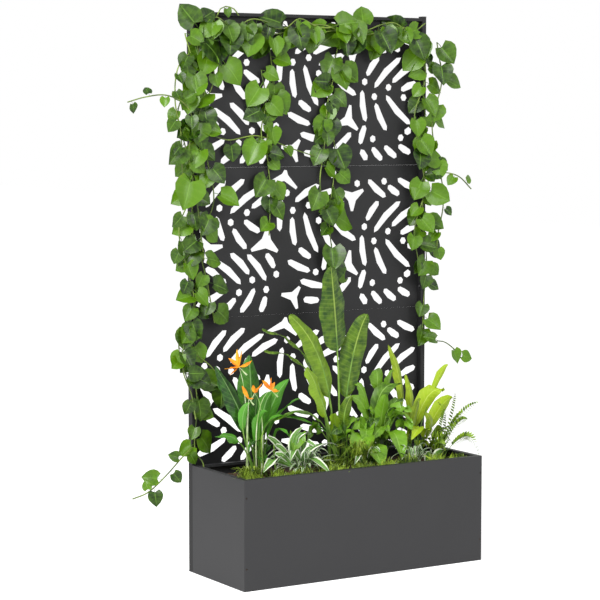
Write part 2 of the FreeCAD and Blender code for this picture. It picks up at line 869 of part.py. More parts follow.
# ---------------------------------------------------------------------------------------------
# Planting
# ---------------------------------------------------------------------------------------------


def soil_fill():
    """Potting soil from the tray up to a little under the rim."""
    body = new_body("soil_fill")
    bed = new_sketch(body, "bed_outline", "XY_Plane", "places.tray_top + sizes.soil_gap")
    side = "(places.inner_half - sizes.soil_gap)"
    rectangle(
        bed,
        f"-{side}",
        "places.front + sizes.sheet + sizes.soil_gap",
        side,
        "places.wall_front - sizes.bolt_head - sizes.soil_gap",
    )
    pad(body, "bed", bed, "places.soil_top - places.tray_top - sizes.soil_gap")
    front = place("front") + size("sheet") + size("soil_gap")
    round_edges(
        body,
        "bed_corners",
        "sizes.bend_radius",
        lambda edge: upright(edge, 50) and abs(edge.Vertexes[0].Point.y - front) < 0.01,
    )
    return body


def polygon_face(corners):
    return Part.Face(Part.makePolygon(corners + corners[:1]))


def skin(rings):
    """A solid through rings of corners whose sides stay flat from one ring to the next."""
    count = len(rings[0])
    faces = [polygon_face(rings[0]), polygon_face(rings[-1])]
    for low, high in zip(rings, rings[1:]):
        for i in range(count):
            after = (i + 1) % count
            faces.append(polygon_face([low[i], low[after], high[after], high[i]]))
    solid = Part.Solid(Part.Shell(faces))
    if solid.Volume < 0:
        solid.reverse()
    return solid


def stem_along(route, radius, across):
    """A stem through equal five-sided sections that all face along across."""
    ring = []
    for corner in range(5):
        angle = math.tau * corner / 5
        first, second = radius * math.cos(angle), radius * math.sin(angle)
        if across.z:
            ring.append(Vector(first, second, 0))
        else:
            ring.append(Vector(0, first, second))
    return skin([[point + spot for spot in ring] for point in route])


# Half of a heart-shaped leaf: along its length, and out to the side, as shares of the length.
HEART = [(0.0, 0.0), (-0.04, 0.28), (0.38, 0.44)]
LEAN = 0.34  # how far a climbing leaf leans out of the screen's plane
YOUNG = 0.46  # size of the leaves that stand up from a level stem


def heart_leaf(stem, radius, outward, tilt, length):
    """A heart-shaped blade beside a stem, pointing outward and tilted in the screen's plane."""
    cross = Vector(0, 1, 0).cross(outward)
    axis = outward * math.cos(tilt) + cross * math.sin(tilt) - Vector(0, LEAN, 0)
    axis.normalize()
    side = axis.cross(Vector(0, 1, 0)).normalize()
    normal = side.cross(axis).normalize()
    half = [axis * (length * u) + side * (length * v) for u, v in HEART]
    other = [axis * (length * u) - side * (length * v) for u, v in HEART[:0:-1]]
    corners = half + [axis * length] + other
    behind = -min(corner.dot(outward) for corner in corners)
    base = stem + outward * (1.25 * radius + size("fold_gap") + behind + size("leaf_plate") / 2)
    blade = polygon_face([base + corner - normal * (size("leaf_plate") / 2) for corner in corners])
    return blade.extrude(normal * size("leaf_plate"))


def seated(blade, stem, outward):
    """The blade moved back against its stem, down to the usual gap."""
    for _ in range(3):
        gap = blade.distToShape(stem)[0] - size("fold_gap")
        blade.translate(outward * -gap)
    return blade


def along_route(route, spacing, bare):
    """Places every spacing along a route after a bare start: each a point and its direction."""
    found, travelled, wanted = [], 0.0, bare
    for start, end in zip(route, route[1:]):
        run = end - start
        while wanted <= travelled + run.Length:
            found.append((start + run * ((wanted - travelled) / run.Length), run.normalize()))
            run = end - start
            wanted += spacing
        travelled += run.Length
    return found


def vine(label, stems, leaf_length):
    """Climbing stems, each with leaves on alternate sides seated against it."""
    solids, turn = [], 0
    for route, radius, across, bare, spacing in stems:
        stem = stem_along(route, radius, across)
        solids.append(stem)
        for base, heading in along_route(route, spacing, bare):
            turn += 1
            length = leaf_length * (0.86 + 0.14 * math.sin(2.4 * turn))
            outward = heading.cross(Vector(0, -1 if turn % 2 else 1, 0)).normalize()
            if outward.z > 0.5:
                length *= YOUNG
            blade = heart_leaf(base, radius, outward, 0.3 * math.sin(1.7 * turn), length)
            solids.append(seated(blade, stem, outward))
    return group(label, solids)


def strap_leaf(spine, widths, turn):
    """A bent leaf with its stalk: level rectangles along its spine, all turned alike."""
    side = Vector(math.cos(turn), math.sin(turn), 0)
    deep = Vector(-side.y, side.x, 0)
    rings = []
    for point, wide in zip(spine, widths):
        thick = size("stalk") if wide <= size("stalk") else size("leaf_plate")
        half, depth = side * (wide / 2), deep * (thick / 2)
        rings.append(
            [point - half - depth, point + half - depth, point + half + depth, point - half + depth]
        )
    return skin(rings)


def on_post(side, height, sway=0.0):
    """A point for a stem that lies against the front of a post."""
    clear = size("vine_stem") / 2 + size("fold_gap")
    return Vector(side * place("post_axis") + sway, place("post_front") - clear, height)


def on_rail(x, rise=0.0):
    """A point for a stem that lies against the front of the rail."""
    middle = (place("rail_bottom") + place("rail_top")) / 2
    clear = size("vine_stem") / 2 + size("fold_gap")
    return Vector(x, place("post_front") - clear, middle + rise)


def on_screen(x, height, forward=0.0):
    """A point for a stem that lies against the screens."""
    clear = size("vine_stem") / 2 + size("fold_gap")
    return Vector(x, place("screen_front") - clear - forward, height)


def swaying(side, low, high, step, sway):
    """Post points from low to high, swaying from side to side."""
    count = max(int(round(abs(high - low) / step)), 2)
    points = []
    for index in range(count + 1):
        height = low + (high - low) * index / count
        points.append(on_post(side, height, sway * math.sin(2.1 * index)))
    return points


def shoot(stem, radius, offsets):
    """A side shoot that starts just beside a stem and grows by the given offsets from it."""
    beside = math.copysign(radius + size("fold_gap"), offsets[-1][0])
    return [stem + Vector(beside, 0, 0)] + [stem + Vector(*offset) for offset in offsets]


# Offsets of each side shoot from its stem: along, back and up.
LOW_LEFT_SHOOT = [
    (-18, -18, 2),
    (-70, -40, -26),
    (-130, -44, -78),
    (-190, -44, -122),
    (-245, -44, -138),
]
HIGH_LEFT_SHOOT = [
    (-18, -18, 30),
    (-62, -40, 80),
    (-130, -44, 106),
    (-200, -44, 100),
    (-262, -44, 84),
]
HIGH_RIGHT_SHOOT = [(16, -18, 6), (58, -40, 14), (110, -44, 0), (160, -44, -42)]
LOW_RIGHT_SHOOT = [(16, -18, 2), (56, -40, 4), (100, -44, -24), (138, -44, -66)]
SWAY = 9  # a stem on a post sways this far from its middle
SWAY_STEP = 150
THIN = 0.7  # thickness of a side shoot, as a share of its stem's
RIGHT_VINE_HANGS = 979

# Strands over the screens: x and drop below the rail.
LEFT_STRAND = [(-150, 8), (-160, 60), (-140, 220), (-165, 400), (-150, 560), (-158, 700)]
RIGHT_STRAND = [(120, 8), (110, 70), (70, 260), (96, 450), (40, 640), (52, 770), (60, 880)]


def left_vine():
    """Rooted at the back left: over the rim, up the post, with two trailing side shoots."""
    radius = size("vine_stem") / 2
    inside = size("rim_width") + 3 * radius
    root = Vector(inside - place("half_width"), place("wall_back") - inside, place("soil_top"))
    over = Vector(root.x, root.y, size("box_height") + 3 * radius)
    low, high = size("box_height") + 60, place("rail_bottom") - 70
    main = [root, over] + swaying(-1, low, high, SWAY_STEP, SWAY)
    stems = [
        (main, radius, UP, 96, 62),
        (shoot(main[2], radius, LOW_LEFT_SHOOT), THIN * radius, ALONG, 88, 68),
        (shoot(main[9], radius, HIGH_LEFT_SHOOT), THIN * radius, ALONG, 88, 84),
    ]
    return vine("vine_left", stems, 88)


def crown_vine():
    """Garland along the rail."""
    reach = place("post_inner") - 20
    points = []
    for index in range(9):
        points.append(on_rail(-reach + 2 * reach * index / 8, 5 * math.sin(1.9 * index)))
    return vine("vine_crown", [(points, size("vine_stem") / 2, ALONG, 30, 46)], 92)


def right_vine():
    """Hangs down the right post from the rail, with two loose shoots."""
    radius = size("vine_stem") / 2
    high = place("rail_bottom") - 100
    main = swaying(1, high - RIGHT_VINE_HANGS, high, SWAY_STEP, -SWAY)
    stems = [
        (main, radius, UP, 44, 66),
        (shoot(main[4], radius, HIGH_RIGHT_SHOOT), THIN * radius, ALONG, 84, 66),
        (shoot(main[0], radius, LOW_RIGHT_SHOOT), THIN * radius, ALONG, 84, 66),
    ]
    return vine("vine_right", stems, 86)


def screen_vine(label, route, spacing):
    """A strand that hangs over the screens; route gives x and drop below the rail."""
    top = place("rail_bottom")
    points = [on_screen(x, top - drop) for x, drop in route]
    return vine(label, [(points, size("vine_stem") / 2, UP, 92, spacing)], 80)


# Tall plants. Each leaf: root x and y on the soil, tip, share of the height where the blade
# starts, blade width and how far the blade bows away from the straight line.
BANANA = [
    ((30, 40), (-26, -10, 956), 0.42, 88, 24),
    ((66, 66), (108, 40, 850), 0.40, 82, -30),
    ((8, 70), (-150, 60, 850), 0.42, 82, 34),
    ((22, 14), (-172, -60, 740), 0.46, 76, 60),
    ((52, 20), (-110, -90, 700), 0.50, 74, 70),
]
FLOWERING = [
    ((-270, 30), (-330, 10, 640), 0.30, 74, 22),
    ((-262, 52), (-238, 70, 676), 0.32, 70, -20),
    ((-246, 30), (-300, -30, 560), 0.30, 66, 30),
    ((-232, 56), (-170, 20, 580), 0.30, 66, -26),
    ((-284, 62), (-396, 40, 560), 0.34, 62, 34),
]
BROADLEAF = [
    ((184, 92), (150, 84, 640), 0.40, 110, 24),
    ((206, 78), (236, 70, 670), 0.42, 116, -20),
    ((196, 44), (120, -10, 560), 0.40, 104, 34),
    ((214, 50), (210, -40, 590), 0.44, 112, 30),
    ((224, 64), (300, 10, 560), 0.42, 100, -30),
    ((182, 54), (110, 60, 500), 0.40, 90, 30),
]
LIME = [
    ((318, 96), (300, 110, 700), 0.24, 42, 14),
    ((330, 104), (352, 120, 640), 0.24, 40, -12),
    ((338, 90), (410, 70, 700), 0.26, 44, -30),
    ((344, 76), (420, 30, 610), 0.26, 42, -34),
    ((320, 84), (300, 66, 590), 0.24, 40, 22),
    ((338, 62), (390, 4, 560), 0.24, 38, -20),
]
STRIPED = [
    ((-120, -60), (-190, -110, 470), 0.14, 34, 26),
    ((-106, -52), (-90, -120, 500), 0.14, 36, 20),
    ((-92, -62), (-20, -120, 450), 0.14, 34, -26),
    ((-112, -74), (-150, -150, 420), 0.14, 32, 30),
    ((40, -80), (-20, -140, 440), 0.14, 34, 24),
    ((54, -72), (60, -140, 470), 0.14, 34, 18),
    ((74, -80), (136, -136, 430), 0.14, 34, -24),
    ((56, -92), (20, -160, 400), 0.14, 32, 26),
]
FERN = [
    ((372, -20), (310, -90, 450), 0.10, 40, 26),
    ((384, -12), (390, -100, 490), 0.10, 42, 18),
    ((394, -22), (436, -90, 440), 0.10, 40, -16),
    ((380, 6), (352, 20, 520), 0.10, 40, 20),
    ((392, 4), (432, 50, 500), 0.10, 38, -14),
    ((366, -34), (300, -140, 400), 0.10, 38, 30),
]
# Cushions of ground cover: x and y of the middle, width along the front and height.
CUSHIONS = [
    (-395, -120, 74, 40),
    (-300, -128, 60, 34),
    (190, -126, 82, 30),
    (300, -130, 60, 28),
]
# Along a blade: place from 0 to 1, and its width there as a share of the widest.
BLADE_SHAPE = [(0.0, 0.18), (0.3, 0.86), (0.62, 1.0), (0.88, 0.52), (1.0, 0.06)]


def tall_plant(label, leaves):
    """Separate leaves on their own stalks, each a loft along a bowed spine."""
    solids = []
    for index, ((root_x, root_y), tip, blade_start, width, bow) in enumerate(leaves):
        root = Vector(root_x, root_y, place("soil_top"))
        end = Vector(*tip)
        chord = end - root
        out = Vector(chord.x, chord.y, 0)
        spine, widths = [root], [size("stalk")]
        for share, wide in BLADE_SHAPE:
            travel = blade_start + (1 - blade_start) * share
            lift = 4 * abs(bow) * travel * (1 - travel)
            bend = UP * lift - (out * (lift / max(chord.Length, 1)))
            spine.append(root + chord * travel + bend)
            widths.append(max(width * wide, size("stalk") * 0.9))
        solids.append(strap_leaf(spine, widths, 0.5 * math.sin(2.0 * index)))
    return group(label, solids)


def ground_cover():
    """Low cushions of moss and grass along the front of the box."""
    solids = []
    base = place("soil_top")
    for x, y, across, tall in CUSHIONS:
        sections = []
        for share, level in ((1.0, 0.0), (0.86, 0.6), (0.42, 1.0)):
            radius = across / 2 * share
            ring = [
                Vector(
                    x + radius * math.cos(math.tau * i / 8),
                    y + 0.6 * radius * math.sin(math.tau * i / 8),
                    base + tall * level,
                )
                for i in range(8)
            ]
            sections.append(ring)
        solids.append(skin(sections))
    return group("ground_cover", solids)


# ---------------------------------------------------------------------------------------------
# Assembly
# ---------------------------------------------------------------------------------------------

PIECES = [
    box_shell(),
    back_wall(),
    floor_tray(),
    floor_beam("floor_beam_left", -1),
    floor_beam("floor_beam_right", 1),
    post("post_left", -1),
    post("post_right", 1),
    tube_end("post_cap_left", -1, "places.post_top", 1),
    tube_end("post_cap_right", 1, "places.post_top", 1),
    tube_end("post_foot_left", -1, "sizes.cap_plate", -1),
    tube_end("post_foot_right", 1, "sizes.cap_plate", -1),
    top_rail(),
    rail_connector("rail_connector_left", -1),
    rail_connector("rail_connector_right", 1),
    screen("screen_lower", 0),
    screen("screen_middle", 1),
    screen("screen_upper", 2),
    screen_screws(),
    box_bolts(),
    post_inserts(),
    soil_fill(),
    left_vine(),
    crown_vine(),
    right_vine(),
    screen_vine("vine_screen_left", LEFT_STRAND, 64),
    screen_vine("vine_screen_right", RIGHT_STRAND, 66),
    tall_plant("banana_plant", BANANA),
    tall_plant("flowering_plant", FLOWERING),
    tall_plant("broadleaf_plant", BROADLEAF),
    tall_plant("lime_plant", LIME),
    tall_plant("striped_plant", STRIPED),
    tall_plant("fern", FERN),
    ground_cover(),
]
doc.recompute()

for item in doc.Objects:
    if "Invalid" in item.State or "Error" in item.State:
        raise RuntimeError(f"{item.Label} did not build: {item.State}")

for piece in PIECES:
    if piece.Shape.isNull() or not piece.Shape.isValid():
        raise RuntimeError(f"{piece.Label} has no valid shape")

os.makedirs("parts", exist_ok=True)
for piece in PIECES:
    piece.Shape.exportStep(f"parts/{piece.Label}.step")
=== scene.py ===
import math
import random

import bmesh
import bpy
from mathutils import Matrix, Vector


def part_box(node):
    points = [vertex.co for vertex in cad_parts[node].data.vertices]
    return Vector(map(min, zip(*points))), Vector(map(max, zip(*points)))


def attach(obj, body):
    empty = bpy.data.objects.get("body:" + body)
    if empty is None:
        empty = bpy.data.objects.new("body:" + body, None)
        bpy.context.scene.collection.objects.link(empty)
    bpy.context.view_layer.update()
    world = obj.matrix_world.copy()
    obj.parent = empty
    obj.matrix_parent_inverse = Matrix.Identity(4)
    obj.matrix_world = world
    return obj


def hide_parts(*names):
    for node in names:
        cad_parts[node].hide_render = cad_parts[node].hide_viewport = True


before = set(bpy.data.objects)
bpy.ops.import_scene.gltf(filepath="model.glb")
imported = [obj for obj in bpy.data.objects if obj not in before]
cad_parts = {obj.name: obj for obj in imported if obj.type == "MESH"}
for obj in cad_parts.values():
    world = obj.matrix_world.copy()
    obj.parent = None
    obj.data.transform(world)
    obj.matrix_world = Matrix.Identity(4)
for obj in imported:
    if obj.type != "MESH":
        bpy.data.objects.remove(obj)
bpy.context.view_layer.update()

# ---------------------------------------------------------------------------------------------
# Room: a white studio floor, a broad soft lamp high on the left and a pale surrounding light.
# The camera stands where the photograph's did, front left and at chest height.
# ---------------------------------------------------------------------------------------------


def linear(hex_colour):
    """An sRGB hex colour as linear red, green, blue and full opacity."""
    parts = [int(hex_colour[i : i + 2], 16) / 255 for i in (1, 3, 5)]
    return (*(c / 12.92 if c <= 0.04045 else ((c + 0.055) / 1.055) ** 2.4 for c in parts), 1.0)


def add_node(tree, kind, inputs=None, **settings):
    """A node with its settings; each input is given a value or linked to a socket."""
    made = tree.nodes.new(kind)
    for name, value in settings.items():
        setattr(made, name, value)
    for key, value in (inputs or {}).items():
        if isinstance(value, bpy.types.NodeSocket):
            tree.links.new(value, made.inputs[key])
        else:
            made.inputs[key].default_value = value
    return made


def seen_directly(tree):
    """1 for rays that show the surface to the camera, also in gloss and through glass."""
    path = add_node(tree, "ShaderNodeLightPath")
    gloss = add_node(
        tree, "ShaderNodeMath",
        {0: path.outputs["Is Camera Ray"], 1: path.outputs["Is Glossy Ray"]}, operation="MAXIMUM",
    )
    return add_node(
        tree, "ShaderNodeMath",
        {0: gloss.outputs[0], 1: path.outputs["Is Transmission Ray"]}, operation="MAXIMUM",
    ).outputs[0]


def new_material(name):
    """A material, its node tree and its shader."""
    material = bpy.data.materials.new(name)
    material.use_nodes = True
    tree = material.node_tree
    return material, tree, tree.nodes["Principled BSDF"]


SURROUND = 0.54  # light from all round, where white to the eye is 1
world = bpy.data.worlds.new("studio")
bpy.context.scene.world = world
world.use_nodes = True
sky = world.node_tree
sky.nodes.clear()
strength = add_node(
    sky, "ShaderNodeMapRange", {"Value": seen_directly(sky), "To Min": SURROUND, "To Max": 1.0}
)
light = add_node(
    sky, "ShaderNodeBackground", {"Color": (1, 1, 1, 1), "Strength": strength.outputs["Result"]}
)
add_node(sky, "ShaderNodeOutputWorld", {"Surface": light.outputs[0]})

FLOOR, FAR_EDGE = 14.0, 40.0  # half width of the floor, and its reach behind the planter
floor_mesh = bpy.data.meshes.new("floor")
corners = [(-FLOOR, -FLOOR), (FLOOR, -FLOOR), (FLOOR, FAR_EDGE), (-FLOOR, FAR_EDGE)]
floor_mesh.from_pydata([(x, y, 0) for x, y in corners], [], [(0, 1, 2, 3)])
floor = bpy.data.objects.new("floor", floor_mesh)
bpy.context.collection.objects.link(floor)
white_floor, shade, _ = new_material("white_floor")
shade.nodes.clear()
PAPER = 0.8  # how much light the floor throws back
GLOW = 0.6  # brings the lit floor up to white and leaves the planter's shadow on it
paint = add_node(shade, "ShaderNodeBsdfDiffuse", {"Color": (PAPER, PAPER, PAPER, 1)})
lift = add_node(shade, "ShaderNodeMath", {0: seen_directly(shade), 1: GLOW}, operation="MULTIPLY")
glow = add_node(shade, "ShaderNodeEmission", {"Strength": lift.outputs[0]})
both = add_node(shade, "ShaderNodeAddShader", {0: paint.outputs[0], 1: glow.outputs[0]})
add_node(shade, "ShaderNodeOutputMaterial", {"Surface": both.outputs[0]})
floor_mesh.materials.append(white_floor)


def soft_lamp(name, spot, target, across, power):
    """A square lamp that faces a point, its width in metres and its power in watts."""
    data = bpy.data.lights.new(name, "AREA")
    data.size = across
    data.energy = power
    lamp = bpy.data.objects.new(name, data)
    lamp.location = spot
    lamp.rotation_euler = (Vector(target) - Vector(spot)).to_track_quat("-Z", "Y").to_euler()
    bpy.context.collection.objects.link(lamp)


soft_lamp("lamp_left", (-4.2, -2.4, 3.6), (0, 0, 0.8), 2.2, 312)
soft_lamp("lamp_front", (1.2, -4.6, 3.4), (0, 0, 1.0), 2.4, 106)

eye = bpy.data.cameras.new("camera")
eye.lens = 125.75
eye.sensor_width = 36
camera = bpy.data.objects.new("camera", eye)
camera.location = (-3.6207, -5.6423, 1.4550)
camera.rotation_euler = (math.radians(90 - 5.03), 0, math.radians(-31.66))
bpy.context.collection.objects.link(camera)
bpy.context.scene.camera = camera
bpy.context.scene.view_settings.view_transform = "Standard"


# ---------------------------------------------------------------------------------------------
# Box: 1.5 mm steel sheet, folded and powder coated in a matt charcoal grey. Powder coat flows
# into a faint orange peel a few millimetres across, which breaks up its dull sheen.
# ---------------------------------------------------------------------------------------------


def set_stops(ramp, *stops):
    """Sets a colour ramp's stops, each a place and a linear colour."""
    for stop, (place, colour) in zip(ramp.color_ramp.elements, stops):
        stop.position, stop.color = place, colour


def coated(name, colour, roughness, shine=0.5):
    """Powder-coated steel: an even, dull skin with a slight cloud in its colour."""
    material, tree, shader = new_material(name)
    shader.inputs["Specular IOR Level"].default_value = shine
    where = add_node(tree, "ShaderNodeTexCoord").outputs["Object"]
    peel_mm, cloud_mm = 2.6, 140.0
    peel = add_node(
        tree, "ShaderNodeTexNoise", {"Vector": where, "Scale": 1000 / peel_mm, "Detail": 3.0}
    )
    cloud = add_node(
        tree, "ShaderNodeTexNoise", {"Vector": where, "Scale": 1000 / cloud_mm, "Detail": 4.0}
    )
    ramp = add_node(tree, "ShaderNodeValToRGB", {"Fac": cloud.outputs["Fac"]})
    base = Vector(linear(colour)[:3])
    set_stops(ramp, (0.3, (*(base * 0.93), 1)), (0.7, (*(base * 1.06), 1)))
    tree.links.new(ramp.outputs["Color"], shader.inputs["Base Color"])
    sheen = add_node(
        tree, "ShaderNodeMapRange",
        {"Value": peel.outputs["Fac"], "To Min": roughness - 0.06, "To Max": roughness + 0.06},
    )
    tree.links.new(sheen.outputs["Result"], shader.inputs["Roughness"])
    dimple = add_node(
        tree, "ShaderNodeBump",
        {"Height": peel.outputs["Fac"], "Strength": 0.12, "Distance": 0.0004},
    )
    tree.links.new(dimple.outputs["Normal"], shader.inputs["Normal"])
    return material


def finish_node(name, material):
    """Gives a node of the frame its material."""
    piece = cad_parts[name]
    for slot in piece.material_slots:
        slot.material = material


charcoal_coat = coated("charcoal_powder_coat", "#1F1F21", 0.55)
for name in ("box_shell", "back_wall"):
    finish_node(name, charcoal_coat)


# ---------------------------------------------------------------------------------------------
# Hidden floor of the box: a galvanised pan on two channels, with the bolts, inserts and screws
# in bright zinc plate. Zinc shows as a mid-grey metal with a faint spangle.
# ---------------------------------------------------------------------------------------------


def zinc(name, spangle_mm):
    """Zinc-coated steel: crystals that each throw the light a little differently."""
    material, tree, shader = new_material(name)
    shader.inputs["Metallic"].default_value = 1.0
    where = add_node(tree, "ShaderNodeTexCoord").outputs["Object"]
    flake = add_node(tree, "ShaderNodeTexVoronoi", {"Vector": where, "Scale": 1000 / spangle_mm})
    ramp = add_node(tree, "ShaderNodeValToRGB", {"Fac": flake.outputs["Color"]})
    set_stops(ramp, (0.0, linear("#8E9092")), (1.0, linear("#B4B6B8")))
    tree.links.new(ramp.outputs["Color"], shader.inputs["Base Color"])
    sheen = add_node(
        tree, "ShaderNodeMapRange", {"Value": flake.outputs["Color"], "To Min": 0.34, "To Max": 0.5}
    )
    tree.links.new(sheen.outputs["Result"], shader.inputs["Roughness"])
    return material


galvanised = zinc("galvanised_sheet", 6.0)
for name in ("floor_tray", "floor_beam_left", "floor_beam_right"):
    finish_node(name, galvanised)
bright_zinc = zinc("bright_zinc_plate", 1.5)
for name in ("box_bolts", "post_inserts", "screen_screws"):
    finish_node(name, bright_zinc)


# ---------------------------------------------------------------------------------------------
# Posts and rail: rectangular steel tubes in the same coat as the screens, closed by moulded
# nylon caps and feet. The caps are as dark as the coat, with a finer and duller grain.
# ---------------------------------------------------------------------------------------------

screen_coat = coated("black_powder_coat", "#181819", 0.6, shine=0.33)
for name in ("post_left", "post_right", "top_rail"):
    finish_node(name, screen_coat)

nylon, grain_tree, nylon_shader = new_material("moulded_nylon")
nylon_shader.inputs["Base Color"].default_value = linear("#1E1E20")
nylon_shader.inputs["Roughness"].default_value = 0.62
nylon_shader.inputs["IOR"].default_value = 1.53
nylon_where = add_node(grain_tree, "ShaderNodeTexCoord").outputs["Object"]
grain_mm = 0.9
nylon_grain = add_node(
    grain_tree, "ShaderNodeTexNoise",
    {"Vector": nylon_where, "Scale": 1000 / grain_mm, "Detail": 2.0},
)
nylon_bump = add_node(
    grain_tree, "ShaderNodeBump",
    {"Height": nylon_grain.outputs["Fac"], "Strength": 0.2, "Distance": 0.0003},
)
grain_tree.links.new(nylon_bump.outputs["Normal"], nylon_shader.inputs["Normal"])
for name in ("post_cap", "post_foot", "rail_connector"):
    for side in ("left", "right"):
        finish_node(f"{name}_{side}", nylon)


# ---------------------------------------------------------------------------------------------
# Leaf screens: three laser-cut sheets of 1.5 mm steel, folded at the sides and screwed to the
# posts. Powder coated nearly black, so the openings stand out against whatever is behind.
# ---------------------------------------------------------------------------------------------

for name in ("screen_lower", "screen_middle", "screen_upper"):
    finish_node(name, screen_coat)


# ---------------------------------------------------------------------------------------------
# Soil: dark bark compost up to 32 mm under the rim, raked roughly level, with short chips of
# bark lying on it. Damp compost is almost black-brown and has no sheen.
# ---------------------------------------------------------------------------------------------


def compost(name, dark, pale):
    """Damp bark compost: dark crumbs with paler fibres, and no sheen."""
    material, tree, shader = new_material(name)
    shader.inputs["Roughness"].default_value = 0.9
    where = add_node(tree, "ShaderNodeTexCoord").outputs["Object"]
    crumb_mm = 9.0
    crumb = add_node(
        tree, "ShaderNodeTexNoise", {"Vector": where, "Scale": 1000 / crumb_mm, "Detail": 6.0}
    )
    ramp = add_node(tree, "ShaderNodeValToRGB", {"Fac": crumb.outputs["Fac"]})
    set_stops(ramp, (0.35, linear(dark)), (0.7, linear(pale)))
    tree.links.new(ramp.outputs["Color"], shader.inputs["Base Color"])
    bump = add_node(
        tree, "ShaderNodeBump", {"Height": crumb.outputs["Fac"], "Strength": 0.8, "Distance": 0.003}
    )
    tree.links.new(bump.outputs["Normal"], shader.inputs["Normal"])
    return material


damp_compost = compost("damp_compost", "#1C1410", "#4A382B")
bark = compost("bark_chip", "#33231A", "#6B4F39")


def link_mesh(name, mesh, materials=()):
    """An object of its own for a mesh."""
    for material in materials:
        mesh.materials.append(material)
    made = bpy.data.objects.new(name, mesh)
    bpy.context.collection.objects.link(made)
    return made


def declare(piece, node=None):
    """Ties a piece to the planter's body and hides the node that it replaces."""
    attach(piece, "root")
    if node:
        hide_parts(node)


soil_low, soil_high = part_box("soil_fill")
soil_shape = bmesh.new()
bmesh.ops.create_grid(soil_shape, x_segments=110, y_segments=40, size=0.5)
middle = (soil_low + soil_high) / 2
spread = soil_high - soil_low
soil_rng = random.Random(11)
for vert in soil_shape.verts:
    on_edge = max(abs(vert.co.x), abs(vert.co.y)) > 0.4999
    height = soil_high.z - 0.004 + (0 if on_edge else soil_rng.uniform(-0.003, 0.006))
    height += 0.004 * math.sin(9 * vert.co.x) * math.cos(5 * vert.co.y)  # left by the rake
    vert.co = (middle.x + vert.co.x * spread.x, middle.y + vert.co.y * spread.y, height)
rim = [e for e in soil_shape.edges if len(e.link_faces) == 1]
wall = bmesh.ops.extrude_edge_only(soil_shape, edges=rim)
for vert in (item for item in wall["geom"] if isinstance(item, bmesh.types.BMVert)):
    vert.co.z = soil_low.z
bmesh.ops.contextual_create(
    soil_shape, geom=[item for item in wall["geom"] if isinstance(item, bmesh.types.BMEdge)]
)
bmesh.ops.recalc_face_normals(soil_shape, faces=soil_shape.faces)
soil_mesh = bpy.data.meshes.new("soil")
soil_shape.to_mesh(soil_mesh)
soil_shape.free()
soil = link_mesh("soil", soil_mesh, [damp_compost])
declare(soil, "soil_fill")

chip_shape = bmesh.new()
bmesh.ops.create_cube(chip_shape, size=1.0)
for vert in chip_shape.verts:
    taper = 0.72 if vert.co.x > 0 else 1.0
    vert.co = (vert.co.x, vert.co.y * taper, vert.co.z * taper + 0.12 * vert.co.x)
chip_mesh = bpy.data.meshes.new("chip")
chip_shape.to_mesh(chip_mesh)
chip_shape.free()
one_chip = bpy.data.objects.new("one_chip", chip_mesh)

scatter = bpy.data.node_groups.new("scatter_pieces", "GeometryNodeTree")
for label, kind, way in (
    ("Bed", "NodeSocketGeometry", "INPUT"),
    ("Piece", "NodeSocketObject", "INPUT"),
    ("Pieces per square metre", "NodeSocketFloat", "INPUT"),
    ("Smallest", "NodeSocketVector", "INPUT"),
    ("Largest", "NodeSocketVector", "INPUT"),
    ("Tilt", "NodeSocketFloat", "INPUT"),
    ("Finish", "NodeSocketMaterial", "INPUT"),
    ("Pieces", "NodeSocketGeometry", "OUTPUT"),
):
    scatter.interface.new_socket(label, in_out=way, socket_type=kind)
given = add_node(scatter, "NodeGroupInput").outputs
spots = add_node(
    scatter, "GeometryNodeDistributePointsOnFaces",
    {"Mesh": given["Bed"], "Density": given["Pieces per square metre"], "Seed": 4},
)
lean = [
    add_node(scatter, "FunctionNodeRandomValue", {2: -1.0, 3: 1.0, "Seed": seed}).outputs[1]
    for seed in (5, 7)
]
tilts = [
    add_node(scatter, "ShaderNodeMath", {0: way, 1: given["Tilt"]}, operation="MULTIPLY").outputs[0]
    for way in lean
]
heading = add_node(scatter, "FunctionNodeRandomValue", {2: 0.0, 3: math.tau, "Seed": 9}).outputs[1]
tumble = add_node(scatter, "ShaderNodeCombineXYZ", {0: tilts[0], 1: tilts[1], 2: heading})
shape = add_node(
    scatter, "FunctionNodeRandomValue",
    {0: given["Smallest"], 1: given["Largest"], "Seed": 6}, data_type="FLOAT_VECTOR",
)
info = add_node(scatter, "GeometryNodeObjectInfo", {"Object": given["Piece"]})
placed = add_node(
    scatter, "GeometryNodeInstanceOnPoints",
    {
        "Points": spots.outputs["Points"],
        "Instance": info.outputs["Geometry"],
        "Rotation": tumble.outputs[0],
        "Scale": shape.outputs[0],
    },
)
real = add_node(scatter, "GeometryNodeRealizeInstances", {"Geometry": placed.outputs[0]})
coloured = add_node(
    scatter, "GeometryNodeSetMaterial", {"Geometry": real.outputs[0], "Material": given["Finish"]}
)
add_node(scatter, "NodeGroupOutput", {"Pieces": coloured.outputs[0]})


def grow(name, base, tree, values):
    """Runs a node tree on a mesh or curve and keeps the result as a plain mesh piece."""
    maker = base.modifiers.new("maker", "NODES")
    maker.node_group = tree
    for item in tree.interface.items_tree:
        if item.in_out == "INPUT" and item.name in values:
            maker[item.identifier] = values[item.name]
    bpy.context.view_layer.update()
    evaluated = base.evaluated_get(bpy.context.evaluated_depsgraph_get())
    mesh = bpy.data.meshes.new_from_object(evaluated)
    base.modifiers.remove(maker)
    mesh.name = name
    piece = bpy.data.objects.new(name, mesh)
    bpy.context.collection.objects.link(piece)
    return piece


